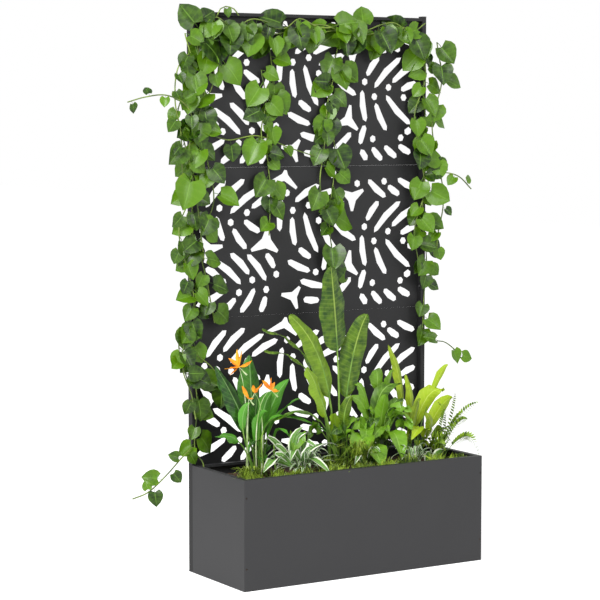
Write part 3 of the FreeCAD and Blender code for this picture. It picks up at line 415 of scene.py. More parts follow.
def flat_bed(name, low, high, height):
    """A level rectangle on which pieces are scattered."""
    mesh = bpy.data.meshes.new(name)
    corners = [(low[0], low[1]), (high[0], low[1]), (high[0], high[1]), (low[0], high[1])]
    mesh.from_pydata([(x, y, height) for x, y in corners], [], [(0, 1, 2, 3)])
    bed = bpy.data.objects.new(name, mesh)
    bpy.context.collection.objects.link(bed)
    return bed


CHIP_EDGE = 0.018  # chips stay this far inside the box
chip_bed = flat_bed(
    "chip_bed", (soil_low.x + CHIP_EDGE, soil_low.y + CHIP_EDGE),
    (soil_high.x - CHIP_EDGE, soil_high.y - CHIP_EDGE), soil_high.z - 0.001,
)
chips = grow(
    "bark_chips", chip_bed, scatter,
    {
        "Piece": one_chip, "Pieces per square metre": 4200.0, "Smallest": (0.01, 0.005, 0.002),
        "Largest": (0.022, 0.01, 0.004), "Tilt": 0.4, "Finish": bark,
    },
)
bpy.data.objects.remove(chip_bed)
declare(chips)


# ---------------------------------------------------------------------------------------------
# Climber: a heart-leaved vine that covers both posts, hangs along the rail as a garland and
# drops strands over the screens. Most leaves are 40 to 80 mm long, on thin green stalks.
# ---------------------------------------------------------------------------------------------


def leaf_surface(
    name, dark, bright, vein, vein_count, roughness, stripe=None, ribs=0.18, slope=0.16
):
    """
    Living leaf under a thin skin of wax, which shines softly. Its green varies from leaf to leaf
    and in patches, with a pale midrib and side veins: ribs is their strength, slope their slant.
    """
    material, tree, shader = new_material(name)
    flat = add_node(tree, "ShaderNodeUVMap", uv_map="UVMap").outputs[0]
    parts = add_node(tree, "ShaderNodeSeparateXYZ", {0: flat})
    centred = add_node(
        tree, "ShaderNodeMath", {0: parts.outputs["X"], 1: 2.0, 2: -1.0}, operation="MULTIPLY_ADD"
    )
    across = add_node(
        tree, "ShaderNodeMath", {0: centred.outputs[0]}, operation="ABSOLUTE"
    ).outputs[0]
    tone = add_node(tree, "ShaderNodeAttribute", attribute_name="tone").outputs["Fac"]
    where = add_node(tree, "ShaderNodeTexCoord").outputs["Object"]
    patch_mm = 22.0
    mottle = add_node(
        tree, "ShaderNodeTexNoise", {"Vector": where, "Scale": 1000 / patch_mm, "Detail": 4.0}
    )
    mixed = add_node(
        tree, "ShaderNodeMath",
        {0: mottle.outputs["Fac"], 1: 0.8, 2: tone}, operation="MULTIPLY_ADD",
    )
    body = add_node(tree, "ShaderNodeValToRGB", {"Fac": mixed.outputs[0]})
    set_stops(body, (0.3, linear(dark)), (1.0, linear(bright)))
    slant = add_node(
        tree, "ShaderNodeMath",
        {0: across, 1: -slope, 2: parts.outputs["Y"]}, operation="MULTIPLY_ADD",
    )
    wave = add_node(
        tree, "ShaderNodeMath", {0: slant.outputs[0], 1: vein_count}, operation="MULTIPLY"
    )
    fold = add_node(tree, "ShaderNodeMath", {0: wave.outputs[0], 1: 0.5}, operation="PINGPONG")
    side_vein = add_node(
        tree, "ShaderNodeMapRange",
        {"Value": fold.outputs[0], "From Min": 0.0, "From Max": 0.2, "To Min": ribs, "To Max": 0.0},
    )
    midrib = add_node(
        tree, "ShaderNodeMapRange",
        {"Value": across, "From Min": 0.01, "From Max": 0.08, "To Min": 0.6, "To Max": 0.0},
    )
    veins = add_node(
        tree, "ShaderNodeMath",
        {0: side_vein.outputs["Result"], 1: midrib.outputs["Result"]}, operation="MAXIMUM",
    )
    colour = body.outputs["Color"]
    if stripe:
        pale, inner, outer = stripe
        band = add_node(
            tree, "ShaderNodeMapRange",
            {"Value": across, "From Min": inner, "From Max": outer, "To Min": 0.0, "To Max": 1.0},
        )
        colour = add_node(
            tree, "ShaderNodeMixRGB",
            {"Fac": band.outputs["Result"], "Color1": colour, "Color2": linear(pale)},
        ).outputs[0]
    drawn = add_node(
        tree, "ShaderNodeMixRGB",
        {"Fac": veins.outputs[0], "Color1": colour, "Color2": linear(vein)},
    )
    tree.links.new(drawn.outputs[0], shader.inputs["Base Color"])
    bump = add_node(
        tree, "ShaderNodeBump", {"Height": veins.outputs[0], "Strength": 0.5, "Distance": -0.001}
    )
    tree.links.new(bump.outputs["Normal"], shader.inputs["Normal"])
    for socket, value in (
        ("Roughness", roughness), ("IOR", 1.42), ("Specular IOR Level", 0.42),
        ("Subsurface Weight", 0.12), ("Subsurface Radius", (0.004, 0.008, 0.002)),
        ("Subsurface Scale", 0.3),
    ):
        shader.inputs[socket].default_value = value
    return material


def streaked(name, dark, bright):
    """Stem, petal or moss: soft streaks of two tones, without gloss."""
    material, tree, shader = new_material(name)
    where = add_node(tree, "ShaderNodeTexCoord").outputs["Object"]
    streak_mm = 45.0
    streak = add_node(
        tree, "ShaderNodeTexNoise", {"Vector": where, "Scale": 1000 / streak_mm, "Detail": 3.0}
    )
    ramp = add_node(tree, "ShaderNodeValToRGB", {"Fac": streak.outputs["Fac"]})
    set_stops(ramp, (0.35, linear(dark)), (0.65, linear(bright)))
    tree.links.new(ramp.outputs["Color"], shader.inputs["Base Color"])
    shader.inputs["Roughness"].default_value = 0.55
    return material


climber_leaf = leaf_surface("climber_leaf", "#0C2302", "#51780A", "#6C9433", 5.0, 0.34, ribs=0.12)
climber_stem = streaked("climber_stem", "#3E5219", "#7D9438")


def blade_mesh(name, rows, columns, surface, thickness):
    """A closed thin leaf. surface gives the point for u from -1 to 1 across and v along."""
    shape = bmesh.new()
    uv = shape.loops.layers.uv.new("UVMap")
    grids = []
    step = 1e-4
    for side in (1, -1):
        grid = []
        for v in rows:
            line = []
            for u in columns:
                point = surface(u, v)
                if abs(u) < 1 and 0 < v < 1:
                    du = surface(u + step, v) - surface(u - step, v)
                    dv = surface(u, v + step) - surface(u, v - step)
                    point = point + du.cross(dv).normalized() * (side * thickness / 2)
                line.append(shape.verts.new(point))
            grid.append(line)
        grids.append(grid)
    for grid, turn in zip(grids, (False, True)):
        for i in range(len(rows) - 1):
            for j in range(len(columns) - 1):
                spots = [(i, j), (i, j + 1), (i + 1, j + 1), (i + 1, j)]
                if turn:
                    spots.reverse()
                face = shape.faces.new([grid[a][b] for a, b in spots])
                face.smooth = True
                for loop, (a, b) in zip(face.loops, spots):
                    loop[uv].uv = ((columns[b] + 1) / 2, rows[a])
    bmesh.ops.remove_doubles(shape, verts=shape.verts, dist=1e-6)
    bmesh.ops.dissolve_degenerate(shape, edges=shape.edges, dist=1e-6)
    for edge in shape.edges:
        on_rim = len(edge.link_faces) == 2 and edge.calc_face_angle(0.0) > 2.2
        edge.smooth = not on_rim
    mesh = bpy.data.meshes.new(name)
    shape.to_mesh(mesh)
    shape.free()
    return mesh


PETIOLE = 0.34  # stalk, as a share of the blade's length


def heart(fold, droop, wave):
    """A heart-shaped blade one unit long on a bowed stalk, folded along its midrib."""

    def surface(u, v):
        width = 0.54 * math.sin(math.pi * v**0.6) ** 0.75 if 0 < v < 1 else 0.0
        back = 0.3 * abs(u) ** 1.3 * math.exp(-v / 0.16) * min(v / 0.05, 1)
        lift = fold * width * abs(u) ** 1.2 - droop * v * v
        lift += wave * abs(u) ** 2 * math.sin(7 * v + (2 if u > 0 else 0))
        return Vector((width * u, PETIOLE + v * (1 - 0.12 * droop) - back, lift + 0.06))

    return surface


HEART_ROWS = [0.0, 0.05, 0.16, 0.32, 0.52, 0.76, 1.0]
HEART_COLUMNS = [-1.0, -0.5, 0.0, 0.5, 1.0]


def with_stalk(mesh, spine, radius):
    """Adds a three-sided stalk along spine to a leaf mesh."""
    shape = bmesh.new()
    shape.from_mesh(mesh)
    rings = []
    for point in spine:
        ring = []
        for corner in range(3):
            angle = math.tau * corner / 3
            offset = Vector((math.cos(angle), 0, math.sin(angle))) * radius
            ring.append(shape.verts.new(Vector(point) + offset))
        rings.append(ring)
    for low, high in zip(rings, rings[1:]):
        for i in range(3):
            j = (i + 1) % 3
            shape.faces.new([low[i], high[i], high[j], low[j]]).smooth = True
    shape.faces.new(rings[0])
    shape.faces.new(rings[-1][::-1])
    shape.to_mesh(mesh)
    shape.free()


HEARTS = ((0.34, 0.16, 0.05), (0.16, 0.3, 0.06), (0.5, 0.05, 0.04))  # fold, droop and wave
heart_leaves = []
for index, (fold, droop, wave) in enumerate(HEARTS):
    heart_mesh = blade_mesh(
        f"heart_{index}", HEART_ROWS, HEART_COLUMNS, heart(fold, droop, wave), 0.012
    )
    with_stalk(heart_mesh, [(0, 0, 0), (0, 0.2, 0.09), (0, PETIOLE + 0.01, 0.06)], 0.018)
    heart_leaves.append(bpy.data.objects.new(f"heart_{index}", heart_mesh))

# A tree that turns points with a turn, a size and a kind into leaves, and routes into stems.
climber = bpy.data.node_groups.new("climber", "GeometryNodeTree")
for label, kind, way in (
    ("Leaf points", "NodeSocketGeometry", "INPUT"),
    ("Stems", "NodeSocketObject", "INPUT"),
    ("Stem radius", "NodeSocketFloat", "INPUT"),
    ("First leaf", "NodeSocketObject", "INPUT"),
    ("Second leaf", "NodeSocketObject", "INPUT"),
    ("Third leaf", "NodeSocketObject", "INPUT"),
    ("Leaf finish", "NodeSocketMaterial", "INPUT"),
    ("Stem finish", "NodeSocketMaterial", "INPUT"),
    ("Plant", "NodeSocketGeometry", "OUTPUT"),
):
    climber.interface.new_socket(label, in_out=way, socket_type=kind)
given = add_node(climber, "NodeGroupInput").outputs
choices = add_node(climber, "GeometryNodeGeometryToInstance")
for label in ("First leaf", "Second leaf", "Third leaf"):
    info = add_node(climber, "GeometryNodeObjectInfo", {"Object": given[label]})
    climber.links.new(info.outputs["Geometry"], choices.inputs[0])
turn = add_node(
    climber, "GeometryNodeInputNamedAttribute", {"Name": "turn"}, data_type="FLOAT_VECTOR"
)
grown = add_node(climber, "GeometryNodeInputNamedAttribute", {"Name": "size"}, data_type="FLOAT")
which = add_node(climber, "GeometryNodeInputNamedAttribute", {"Name": "kind"}, data_type="INT")
leaves = add_node(
    climber, "GeometryNodeInstanceOnPoints",
    {
        "Points": given["Leaf points"],
        "Instance": choices.outputs[0],
        "Pick Instance": True,
        "Instance Index": which.outputs[0],
        "Rotation": turn.outputs[0],
        "Scale": grown.outputs[0],
    },
)
real = add_node(climber, "GeometryNodeRealizeInstances", {"Geometry": leaves.outputs[0]})
green = add_node(
    climber, "GeometryNodeSetMaterial",
    {"Geometry": real.outputs[0], "Material": given["Leaf finish"]},
)
routes = add_node(climber, "GeometryNodeObjectInfo", {"Object": given["Stems"]})
ring = add_node(
    climber, "GeometryNodeCurvePrimitiveCircle",
    {"Resolution": 6, "Radius": given["Stem radius"]},
)
tubes = add_node(
    climber, "GeometryNodeCurveToMesh",
    {"Curve": routes.outputs["Geometry"], "Profile Curve": ring.outputs[0], "Fill Caps": True},
)
tubes_smooth = add_node(climber, "GeometryNodeSetShadeSmooth", {"Geometry": tubes.outputs[0]})
woody = add_node(
    climber, "GeometryNodeSetMaterial",
    {"Geometry": tubes_smooth.outputs[0], "Material": given["Stem finish"]},
)
plant = add_node(climber, "GeometryNodeJoinGeometry", {0: green.outputs[0]})
climber.links.new(woody.outputs[0], plant.inputs[0])
bare = plant.outputs[0]
for label in ("turn", "size", "kind"):
    bare = add_node(
        climber, "GeometryNodeRemoveAttribute", {"Geometry": bare, "Name": label}
    ).outputs[0]
add_node(climber, "NodeGroupOutput", {"Plant": bare})


PACE = 0.012  # between the points of a stem
STEM_RADIUS = 0.0021


def smooth_route(points):
    """Points about a pace apart on a smooth line through the given ones."""
    ends = [2 * points[0] - points[1]] + list(points) + [2 * points[-1] - points[-2]]
    route = []
    for a, b, c, d in zip(ends, ends[1:], ends[2:], ends[3:]):
        count = max(int((c - b).length / PACE), 1)
        for i in range(count):
            t = i / count
            route.append(
                0.5 * (2 * b + (c - a) * t + (2 * a - 5 * b + 4 * c - d) * t**2
                       + (3 * b - a - 3 * c + d) * t**3)
            )
    return route + [points[-1]]


FRONT = Vector((0, -1, 0))
DOWN = Vector((0, 0, -1))


class Plant:
    """Collects stems and leaf places for one piece."""

    def __init__(self, seed):
        self.stems, self.places, self.rng = [], [], random.Random(seed)

    def leaf(self, base, axis, face, length):
        """A leaf at base that points along axis with its upper side towards face."""
        ahead = axis.normalized()
        right = ahead.cross(face).normalized()
        matrix = Matrix((right, ahead, right.cross(ahead))).transposed()
        kind = self.rng.randrange(3)
        self.places.append((base, matrix.to_euler(), length, kind, self.rng.random() ** 1.6))

    def strand(self, points, spacing, length, gravity, start=0.0, thin=1.0, spread=1.0):
        """A stem through points with leaves in turn on each side."""
        route = smooth_route([Vector(p) for p in points])
        self.stems.append((route, thin))
        rng, side, wanted, walked = self.rng, 1, start, 0.0
        for low, high in zip(route, route[1:]):
            run = high - low
            walked += run.length
            if walked < wanted:
                continue
            wanted += spacing * rng.uniform(0.6, 1.4)
            side = -side
            out = run.cross(FRONT).normalized() * side
            face = FRONT + Vector((rng.uniform(-0.75, 0.25), 0, rng.uniform(0.0, 0.8)))
            axis = out * spread * rng.uniform(0.1, 1.0) + DOWN * gravity * rng.uniform(0.4, 1.5)
            axis += Vector((rng.uniform(-0.35, 0.35), 0, rng.uniform(-0.1, 0.25)))
            axis -= axis.project(face) * rng.uniform(0.5, 1.0)
            self.leaf(low, axis, face, length * rng.uniform(0.66, 1.25))

    def piece(self, name):
        """The finished plant as one plain mesh."""
        curve = bpy.data.curves.new(name + "_route", "CURVE")
        curve.dimensions = "3D"
        for route, thin in self.stems:
            spline = curve.splines.new("POLY")
            spline.points.add(len(route) - 1)
            for i, (knot, point) in enumerate(zip(spline.points, route)):
                knot.co = (*point, 1)
                knot.radius = thin * (1 - 0.45 * i / len(route))
        stems = bpy.data.objects.new(name + "_stems", curve)
        cloud = bpy.data.meshes.new(name + "_points")
        cloud.from_pydata([p[0] for p in self.places], [], [])
        columns = (
            ("turn", "FLOAT_VECTOR", "vector"), ("size", "FLOAT", "value"),
            ("kind", "INT", "value"), ("tone", "FLOAT", "value"),
        )
        for index, (label, kind, field) in enumerate(columns, start=1):
            column = cloud.attributes.new(label, kind, "POINT").data
            for item, row in zip(column, self.places):
                setattr(item, field, row[index])
        base = bpy.data.objects.new(name + "_points", cloud)
        bpy.context.collection.objects.link(base)
        made = grow(
            name, base, climber,
            {
                "Stems": stems,
                "Stem radius": STEM_RADIUS,
                "First leaf": heart_leaves[0],
                "Second leaf": heart_leaves[1],
                "Third leaf": heart_leaves[2],
                "Leaf finish": climber_leaf,
                "Stem finish": climber_stem,
            },
        )
        bpy.data.objects.remove(base)
        return made


POST_X = 0.4425  # axis of a post
POST_Y = 0.1497  # where the stems run, just in front of the posts
RAIL_Z = 1.774  # axis of the rail


def on_post(side, low, high, sway, shift=0.0, forward=0.0, step=0.15):
    """Route points up the front of a post, swaying from side to side."""
    count = max(round(abs(high - low) / step), 2)
    return [
        Vector((
            side * POST_X + shift + sway * math.sin(2.1 * i),
            POST_Y - forward - 0.004 * (i % 2),
            low + (high - low) * i / count,
        ))
        for i in range(count + 1)
    ]


# Each strand has its route, the spacing of its leaves, their length and how much they hang.
left = Plant(21)
main = [Vector((-0.4245, 0.1265, 0.314)), Vector((-0.4245, 0.1265, 0.3535))]
main += on_post(-1, 0.406, 1.699, 0.009)
left.strand(main, 0.05, 0.056, 0.6, start=0.12)
left.strand(on_post(-1, 1.7, 0.8, 0.03, 0.04, 0.012, 0.12), 0.05, 0.062, 0.9, thin=0.8)
left.strand(on_post(-1, 1.71, 0.62, 0.03, -0.036, 0.014, 0.12), 0.05, 0.058, 0.9, thin=0.7)
left.strand(on_post(-1, 1.70, 1.0, 0.03, 0.0, 0.02, 0.16), 0.13, 0.078, 1.0, thin=0.6)
low_shoot = [
    (-0.018, -0.018, 0.002), (-0.07, -0.04, -0.026), (-0.13, -0.044, -0.078),
    (-0.19, -0.044, -0.122), (-0.245, -0.044, -0.138),
]
left.strand([main[2] + Vector(p) for p in low_shoot], 0.04, 0.044, 0.35, start=0.03, thin=0.6)
high_shoot = [
    (-0.018, -0.018, 0.03), (-0.062, -0.04, 0.08), (-0.13, -0.044, 0.106),
    (-0.2, -0.044, 0.1), (-0.262, -0.044, 0.084),
]
left.strand([main[9] + Vector(p) for p in high_shoot], 0.06, 0.034, 0.3, start=0.04, thin=0.5)
trailing = [
    (-0.45, 0.14, 1.66), (-0.51, 0.125, 1.6), (-0.52, 0.125, 1.5), (-0.5, 0.125, 1.4),
    (-0.495, 0.125, 1.28), (-0.47, 0.135, 1.2),
]
left.strand(trailing, 0.07, 0.046, 0.8, start=0.05, thin=0.5)
low_trailing = [
    (-0.45, 0.14, 0.84), (-0.49, 0.125, 0.76), (-0.5, 0.12, 0.66), (-0.47, 0.12, 0.58),
    (-0.46, 0.11, 0.5),
]
left.strand(low_trailing, 0.07, 0.05, 0.8, start=0.05, thin=0.5)
single = [Vector((-0.44, 0.14, 0.7)), Vector((-0.395, 0.126, 0.662)), Vector((-0.359, 0.12, 0.612))]
left.stems.append((smooth_route(single), 0.5))
left.leaf(single[-1], Vector((-0.05, 0, -1)), FRONT + Vector((-0.3, 0, 0.2)), 0.066)
declare(left.piece("climber_left"), "vine_left")

crown = Plant(22)
garland = [
    (-0.42 + 0.84 * i / 12, POST_Y - 0.003, RAIL_Z - 0.05 + 0.008 * math.sin(1.9 * i))
    for i in range(13)
]
crown.strand(garland, 0.08, 0.064, 1.0, spread=0.9)
looped = [
    (
        -0.43 + 0.86 * i / 14,
        POST_Y - 0.018 - 0.006 * (i % 2),
        RAIL_Z - 0.026 + 0.018 * math.sin(2.3 * i),
    )
    for i in range(15)
]
crown.strand(looped, 0.043, 0.064, 0.8, thin=0.8)
lower_loop = [
    (
        -0.41 + 0.8 * i / 9,
        POST_Y - 0.012 - 0.006 * (i % 2),
        RAIL_Z - 0.042 + 0.018 * math.sin(1.7 * i),
    )
    for i in range(10)
]
crown.strand(lower_loop, 0.07, 0.07, 1.2, thin=0.7, spread=0.8)
arch = [
    (-0.36, 0.15, 1.76), (-0.345, 0.145, 1.79), (-0.33, 0.14, 1.797), (-0.30, 0.14, 1.79),
    (-0.28, 0.145, 1.77),
]
crown.strand(arch, 0.05, 0.04, 0.3, thin=0.5)
declare(crown.piece("climber_crown"), "vine_crown")

right = Plant(23)
hanging = on_post(1, 1.669, 0.69, -0.009)
right.strand(hanging, 0.045, 0.055, 0.85)
right.strand(on_post(1, 1.71, 0.95, 0.024, -0.03, 0.014, 0.12), 0.056, 0.06, 0.9, thin=0.8)
right.strand(on_post(1, 1.7, 1.3, 0.02, 0.04, 0.012, 0.12), 0.055, 0.062, 0.9, thin=0.6)
high_right = [
    (0.016, -0.018, 0.006), (0.058, -0.04, 0.014), (0.11, -0.044, 0.0), (0.16, -0.044, -0.042),
]
right.strand([hanging[3] + Vector(p) for p in high_right], 0.05, 0.044, 0.5, start=0.04, thin=0.5)
low_right = [
    (0.016, -0.018, 0.002), (0.056, -0.04, 0.004), (0.1, -0.044, -0.024), (0.138, -0.044, -0.066),
]
right.strand([hanging[-1] + Vector(p) for p in low_right], 0.045, 0.038, 0.5, start=0.04, thin=0.5)
side_right = [
    (0.45, 0.14, 1.34), (0.49, 0.125, 1.26), (0.5, 0.12, 1.16), (0.48, 0.12, 1.06),
    (0.47, 0.12, 0.98),
]
right.strand(side_right, 0.08, 0.044, 0.8, start=0.05, thin=0.5)
declare(right.piece("climber_right"), "vine_right")


SCREEN_Y = 0.1677  # where the stems run, just in front of the screens


def over_screen(route, forward=0.0):
    """Route points against the front of the screens: x and height."""
    return [
        Vector((x, SCREEN_Y - forward - 0.004 * (i % 2), z)) for i, (x, z) in enumerate(route)
    ]


screen_left = Plant(24)
long_drop = [
    (-0.15, 1.761), (-0.16, 1.709), (-0.14, 1.549), (-0.165, 1.369), (-0.15, 1.209),
    (-0.158, 1.069),
]
screen_left.strand(over_screen(long_drop), 0.05, 0.062, 1.0)
short_drop = [(-0.19, 1.6), (-0.175, 1.5), (-0.19, 1.4), (-0.165, 1.3)]
screen_left.strand(over_screen(short_drop, 0.01), 0.055, 0.066, 0.95, thin=0.7)
runner = [(-0.4, 1.41), (-0.316, 1.378), (-0.2, 1.39), (-0.08, 1.35), (0.06, 1.31)]
screen_left.strand(over_screen(runner, 0.006), 0.1, 0.048, 0.6, thin=0.6)
corner_drop = [(-0.36, 1.73), (-0.345, 1.66), (-0.35, 1.58)]
screen_left.strand(over_screen(corner_drop, 0.01), 0.07, 0.078, 1.1, thin=0.7)
declare(screen_left.piece("climber_screen_left"), "vine_screen_left")

screen_right = Plant(25)
long_drop = [
    (0.12, 1.761), (0.11, 1.699), (0.07, 1.509), (0.096, 1.319), (0.075, 1.129),
    (0.085, 0.999), (0.1, 0.92),
]
screen_right.strand(over_screen(long_drop), 0.042, 0.064, 1.0)
short_drop = [(0.1, 1.62), (0.06, 1.5), (0.05, 1.36), (0.03, 1.24), (0.05, 1.14)]
screen_right.strand(over_screen(short_drop, 0.01), 0.055, 0.066, 0.95, thin=0.7)
corner_drop = [(0.26, 1.75), (0.25, 1.69), (0.26, 1.66)]
screen_right.strand(over_screen(corner_drop, 0.01), 0.06, 0.07, 1.2, thin=0.7)
declare(screen_right.piece("climber_screen_right"), "vine_screen_right")


# ---------------------------------------------------------------------------------------------
# Banana-like plant in the middle of the box: long ribbed blades on fleshy stalks, the tallest
# upright in front of the screens, two seen edge on as they arch to the left.
# ---------------------------------------------------------------------------------------------

ROOT_Z = 312  # height of the roots in mm, just under the top of the soil
FRONT_MM, BACK_MM = -178, 150  # leaves that fill a clump stay between these


def arched(root, via, tip):
    """A curved line from root through via to tip, which are in mm."""
    start, middle, end = (Vector(point) / 1000 for point in (root, via, tip))
    pull = 2 * middle - (start + end) / 2

    def at(t):
        return start * (1 - t) ** 2 + pull * (2 * t * (1 - t)) + end * t**2

    return at


def lance(v, fullness):
    """Half width along a blade as a share of its widest."""
    return math.sin(math.pi * v**0.8) ** fullness if 0 < v < 1 else 0.0


def blade_on(line, start, width, turn, cup, wave, fullness):
    """A leaf blade along the last part of a curved line, its width across the given turn."""
    side = Vector((math.cos(turn), math.sin(turn), 0))

    def surface(u, v):
        t = start + (1 - start) * v
        along = (line(t + 0.01) - line(t - 0.01)).normalized()
        across = (side - along * side.dot(along)).normalized()
        normal = across.cross(along)
        half = width / 2 * lance(v, fullness)
        ripple = wave * abs(u) ** 3 * math.sin(5.0 * math.pi * v + (2 * u if u > 0 else 0))
        return line(t) + across * (half * u) - normal * (cup * half * abs(u) ** 1.4 + ripple)

    return surface


def tube(shape, points, radii):
    """Adds a closed six-sided tube through points."""
    rings, sides = [], 6
    for i, point in enumerate(points):
        along = (points[min(i + 1, len(points) - 1)] - points[max(i - 1, 0)]).normalized()
        first = along.cross(Vector((0.31, 0.93, 0.17))).normalized()
        second = along.cross(first)
        ring = []
        for k in range(sides):
            angle = math.tau * k / sides
            offset = (first * math.cos(angle) + second * math.sin(angle)) * radii[i]
            ring.append(shape.verts.new(point + offset))
        rings.append(ring)
    faces = []
    for low, high in zip(rings, rings[1:]):
        for i in range(sides):
            j = (i + 1) % sides
            faces.append(shape.faces.new([low[i], low[j], high[j], high[i]]))
    faces.append(shape.faces.new(rings[0][::-1]))
    faces.append(shape.faces.new(rings[-1]))
    for face in faces:
        face.smooth = True
    return faces


# Rows along a blade and columns across it, for blades of three sizes.
LARGE = (
    [0.0, 0.03, 0.08, 0.15, 0.24, 0.34, 0.45, 0.56, 0.67, 0.77, 0.86, 0.93, 0.98, 1.0],
    [-1.0, -0.75, -0.45, -0.15, 0.0, 0.15, 0.45, 0.75, 1.0],
)
MEDIUM = ([0.0, 0.05, 0.15, 0.3, 0.48, 0.66, 0.83, 0.94, 1.0], [-1.0, -0.5, 0.0, 0.5, 1.0])
SMALL = ([0.0, 0.25, 0.6, 1.0], [-1.0, 0.0, 1.0])


BLADE_THICKNESS = 0.0008
BEHIND = 0.0012  # a stalk runs this far behind the middle of its blade
STALK_PARTS = 9
GOLDEN = 0.618  # share of a turn from one leaf of a clump to the next


class Foliage:
    """Collects the blades and stalks of one planted species."""

    def __init__(self, seed, grid, cup, wave, fullness):
        self.shape, self.rng, self.grid = bmesh.new(), random.Random(seed), grid
        self.form = (cup, wave, fullness)
        self.tone = self.shape.verts.layers.float.new("tone")

    def blade(self, line, start, width, turn, slot=0):
        """A blade on a line; slot picks its material."""
        surface = blade_on(line, start, width, turn, *self.form)
        part = blade_mesh("blade", *self.grid, surface, BLADE_THICKNESS)
        verts, faces = len(self.shape.verts), len(self.shape.faces)
        self.shape.from_mesh(part)
        bpy.data.meshes.remove(part)
        self.shape.verts.ensure_lookup_table()
        self.shape.faces.ensure_lookup_table()
        tone = self.rng.random() ** 1.3
        for vert in self.shape.verts[verts:]:
            vert[self.tone] = tone
        for face in self.shape.faces[faces:]:
            face.material_index = slot

    def stalk(self, line, reach, radius, slot=1):
        """A tapering stalk along a line, up to reach."""
        ends = range(STALK_PARTS + 1)
        points = [line(reach * i / STALK_PARTS) + Vector((0, BEHIND, 0)) for i in ends]
        radii = [radius * (1 - 0.8 * i / STALK_PARTS) for i in ends]
        for face in tube(self.shape, points, radii):
            face.material_index = slot

    def leaves(self, rows, radius):
        """Leaves from rows of root, via, tip, start of the blade, width and turn, in mm."""
        for root, via, tip, start, width, turn in rows:
            line = arched((*root, ROOT_Z), via, tip)
            self.blade(line, start, width / 1000, turn)
            self.stalk(line, start + (1 - start) * 0.8, radius)

    def mound(self, root, count, reach, rise, start, width, radius):
        """Arching leaves all round a root, which fill the inside of a clump."""
        for index in range(count):
            way = math.tau * GOLDEN * index
            out = Vector((math.cos(way), 0.55 * math.sin(way), 0))
            far, high = reach * self.rng.uniform(0.35, 1.0), rise * self.rng.uniform(0.35, 1.0)
            foot = Vector((*root, ROOT_Z)) + out * 0.15 * far
            via = foot + out * 0.4 * far + Vector((0, 0, 0.9 * high))
            tip = foot + out * far + Vector((0, 0, high * self.rng.uniform(0.55, 1.0)))
            tip.y = max(min(tip.y, BACK_MM), FRONT_MM)
            line = arched(foot, via, tip)
            self.blade(line, start, width / 1000 * self.rng.uniform(0.75, 1.15), way + math.pi / 2)
            if radius:
                self.stalk(line, start + (1 - start) * 0.8, radius)

    def finish(self, name, node, materials):
        """Makes the plant one piece, in place of a node of the frame if one is named."""
        mesh = bpy.data.meshes.new(name)
        self.shape.to_mesh(mesh)
        self.shape.free()
        declare(link_mesh(name, mesh, materials), node)


banana_leaf = leaf_surface(
    "banana_leaf", "#1D3F02", "#80A420", "#B4CC62", 21.0, 0.38, ribs=0.1, slope=0.035
)
fleshy_stalk = streaked("fleshy_stalk", "#4A7420", "#86AC44")
# Each leaf: root, a point that it passes, tip, where its blade starts, width and turn.
BANANA = [
    ((34, 44), (26, 34, 627), (-25, 0, 975), 0.60, 102, 0.1),
    ((50, 50), (72, 36, 624), (134, 30, 811), 0.34, 83, -0.2),
    ((22, 56), (-32, 30, 631), (-173, 16, 824), 0.34, 71, 0.2),
    ((18, 20), (-62, -6, 540), (-141, -36, 658), 0.36, 63, 0.5),
    ((4, 50), (-84, 20, 648), (-282, 0, 783), 0.50, 32, 1.0),
    ((0, 34), (-93, 6, 618), (-289, -24, 717), 0.46, 29, 1.1),
    ((62, 40), (45, 30, 469), (63, 10, 549), 0.30, 39, -0.4),
    ((30, 30), (10, 20, 430), (-20, -10, 500), 0.30, 44, 0.2),
]
banana = Foliage(31, LARGE, 0.3, 0.006, 0.52)
banana.leaves(BANANA, 0.005)
banana.finish("banana_leaves", "banana_plant", [banana_leaf, fleshy_stalk])


# ---------------------------------------------------------------------------------------------
# Bird of paradise at the left: waxy blue-green blades and orange flowers, each a fan of pointed
# sepals over a narrow pale bract, on stiff stalks.
# ---------------------------------------------------------------------------------------------

waxy_leaf = leaf_surface("waxy_leaf", "#0B2F07", "#509228", "#9CC67C", 14.0, 0.32, ribs=0.08)
sepal = streaked("orange_sepal", "#EE7A08", "#FFB41C")
pale_bract = streaked("pale_bract", "#8FAF62", "#DCE3C0")
PARADISE = [
    ((-282, 28), (-340, 20, 500), (-452, 0, 680), 0.36, 65, 0.3),
    ((-290, 44), (-339, 40, 485), (-428, 30, 628), 0.50, 32, 0.3),
    ((-268, 66), (-280, 66, 528), (-288, 70, 698), 0.40, 82, 0.0),
    ((-246, 50), (-233, 46, 495), (-160, 40, 616), 0.34, 55, -0.2),
    ((-256, 40), (-262, 34, 492), (-227, 30, 580), 0.30, 60, -0.1),
    ((-268, 20), (-291, 4, 466), (-271, -12, 527), 0.28, 48, 0.1),
    ((-276, 46), (-284, 40, 468), (-276, 36, 582), 0.30, 52, 0.2),
    ((-244, 34), (-241, 20, 460), (-141, 6, 557), 0.40, 25, 0.6),
    ((-288, 18), (-352, 0, 478), (-333, -12, 560), 0.46, 30, -0.3),
    ((-318, -20), (-383, -36, 438), (-486, -60, 468), 0.52, 40, 0.5),
    ((-262, 6), (-271, -30, 498), (-72, -46, 452), 0.34, 30, 1.0),
    ((-222, 10), (-243, -20, 456), (-202, -50, 434), 0.30, 28, 0.7),
]
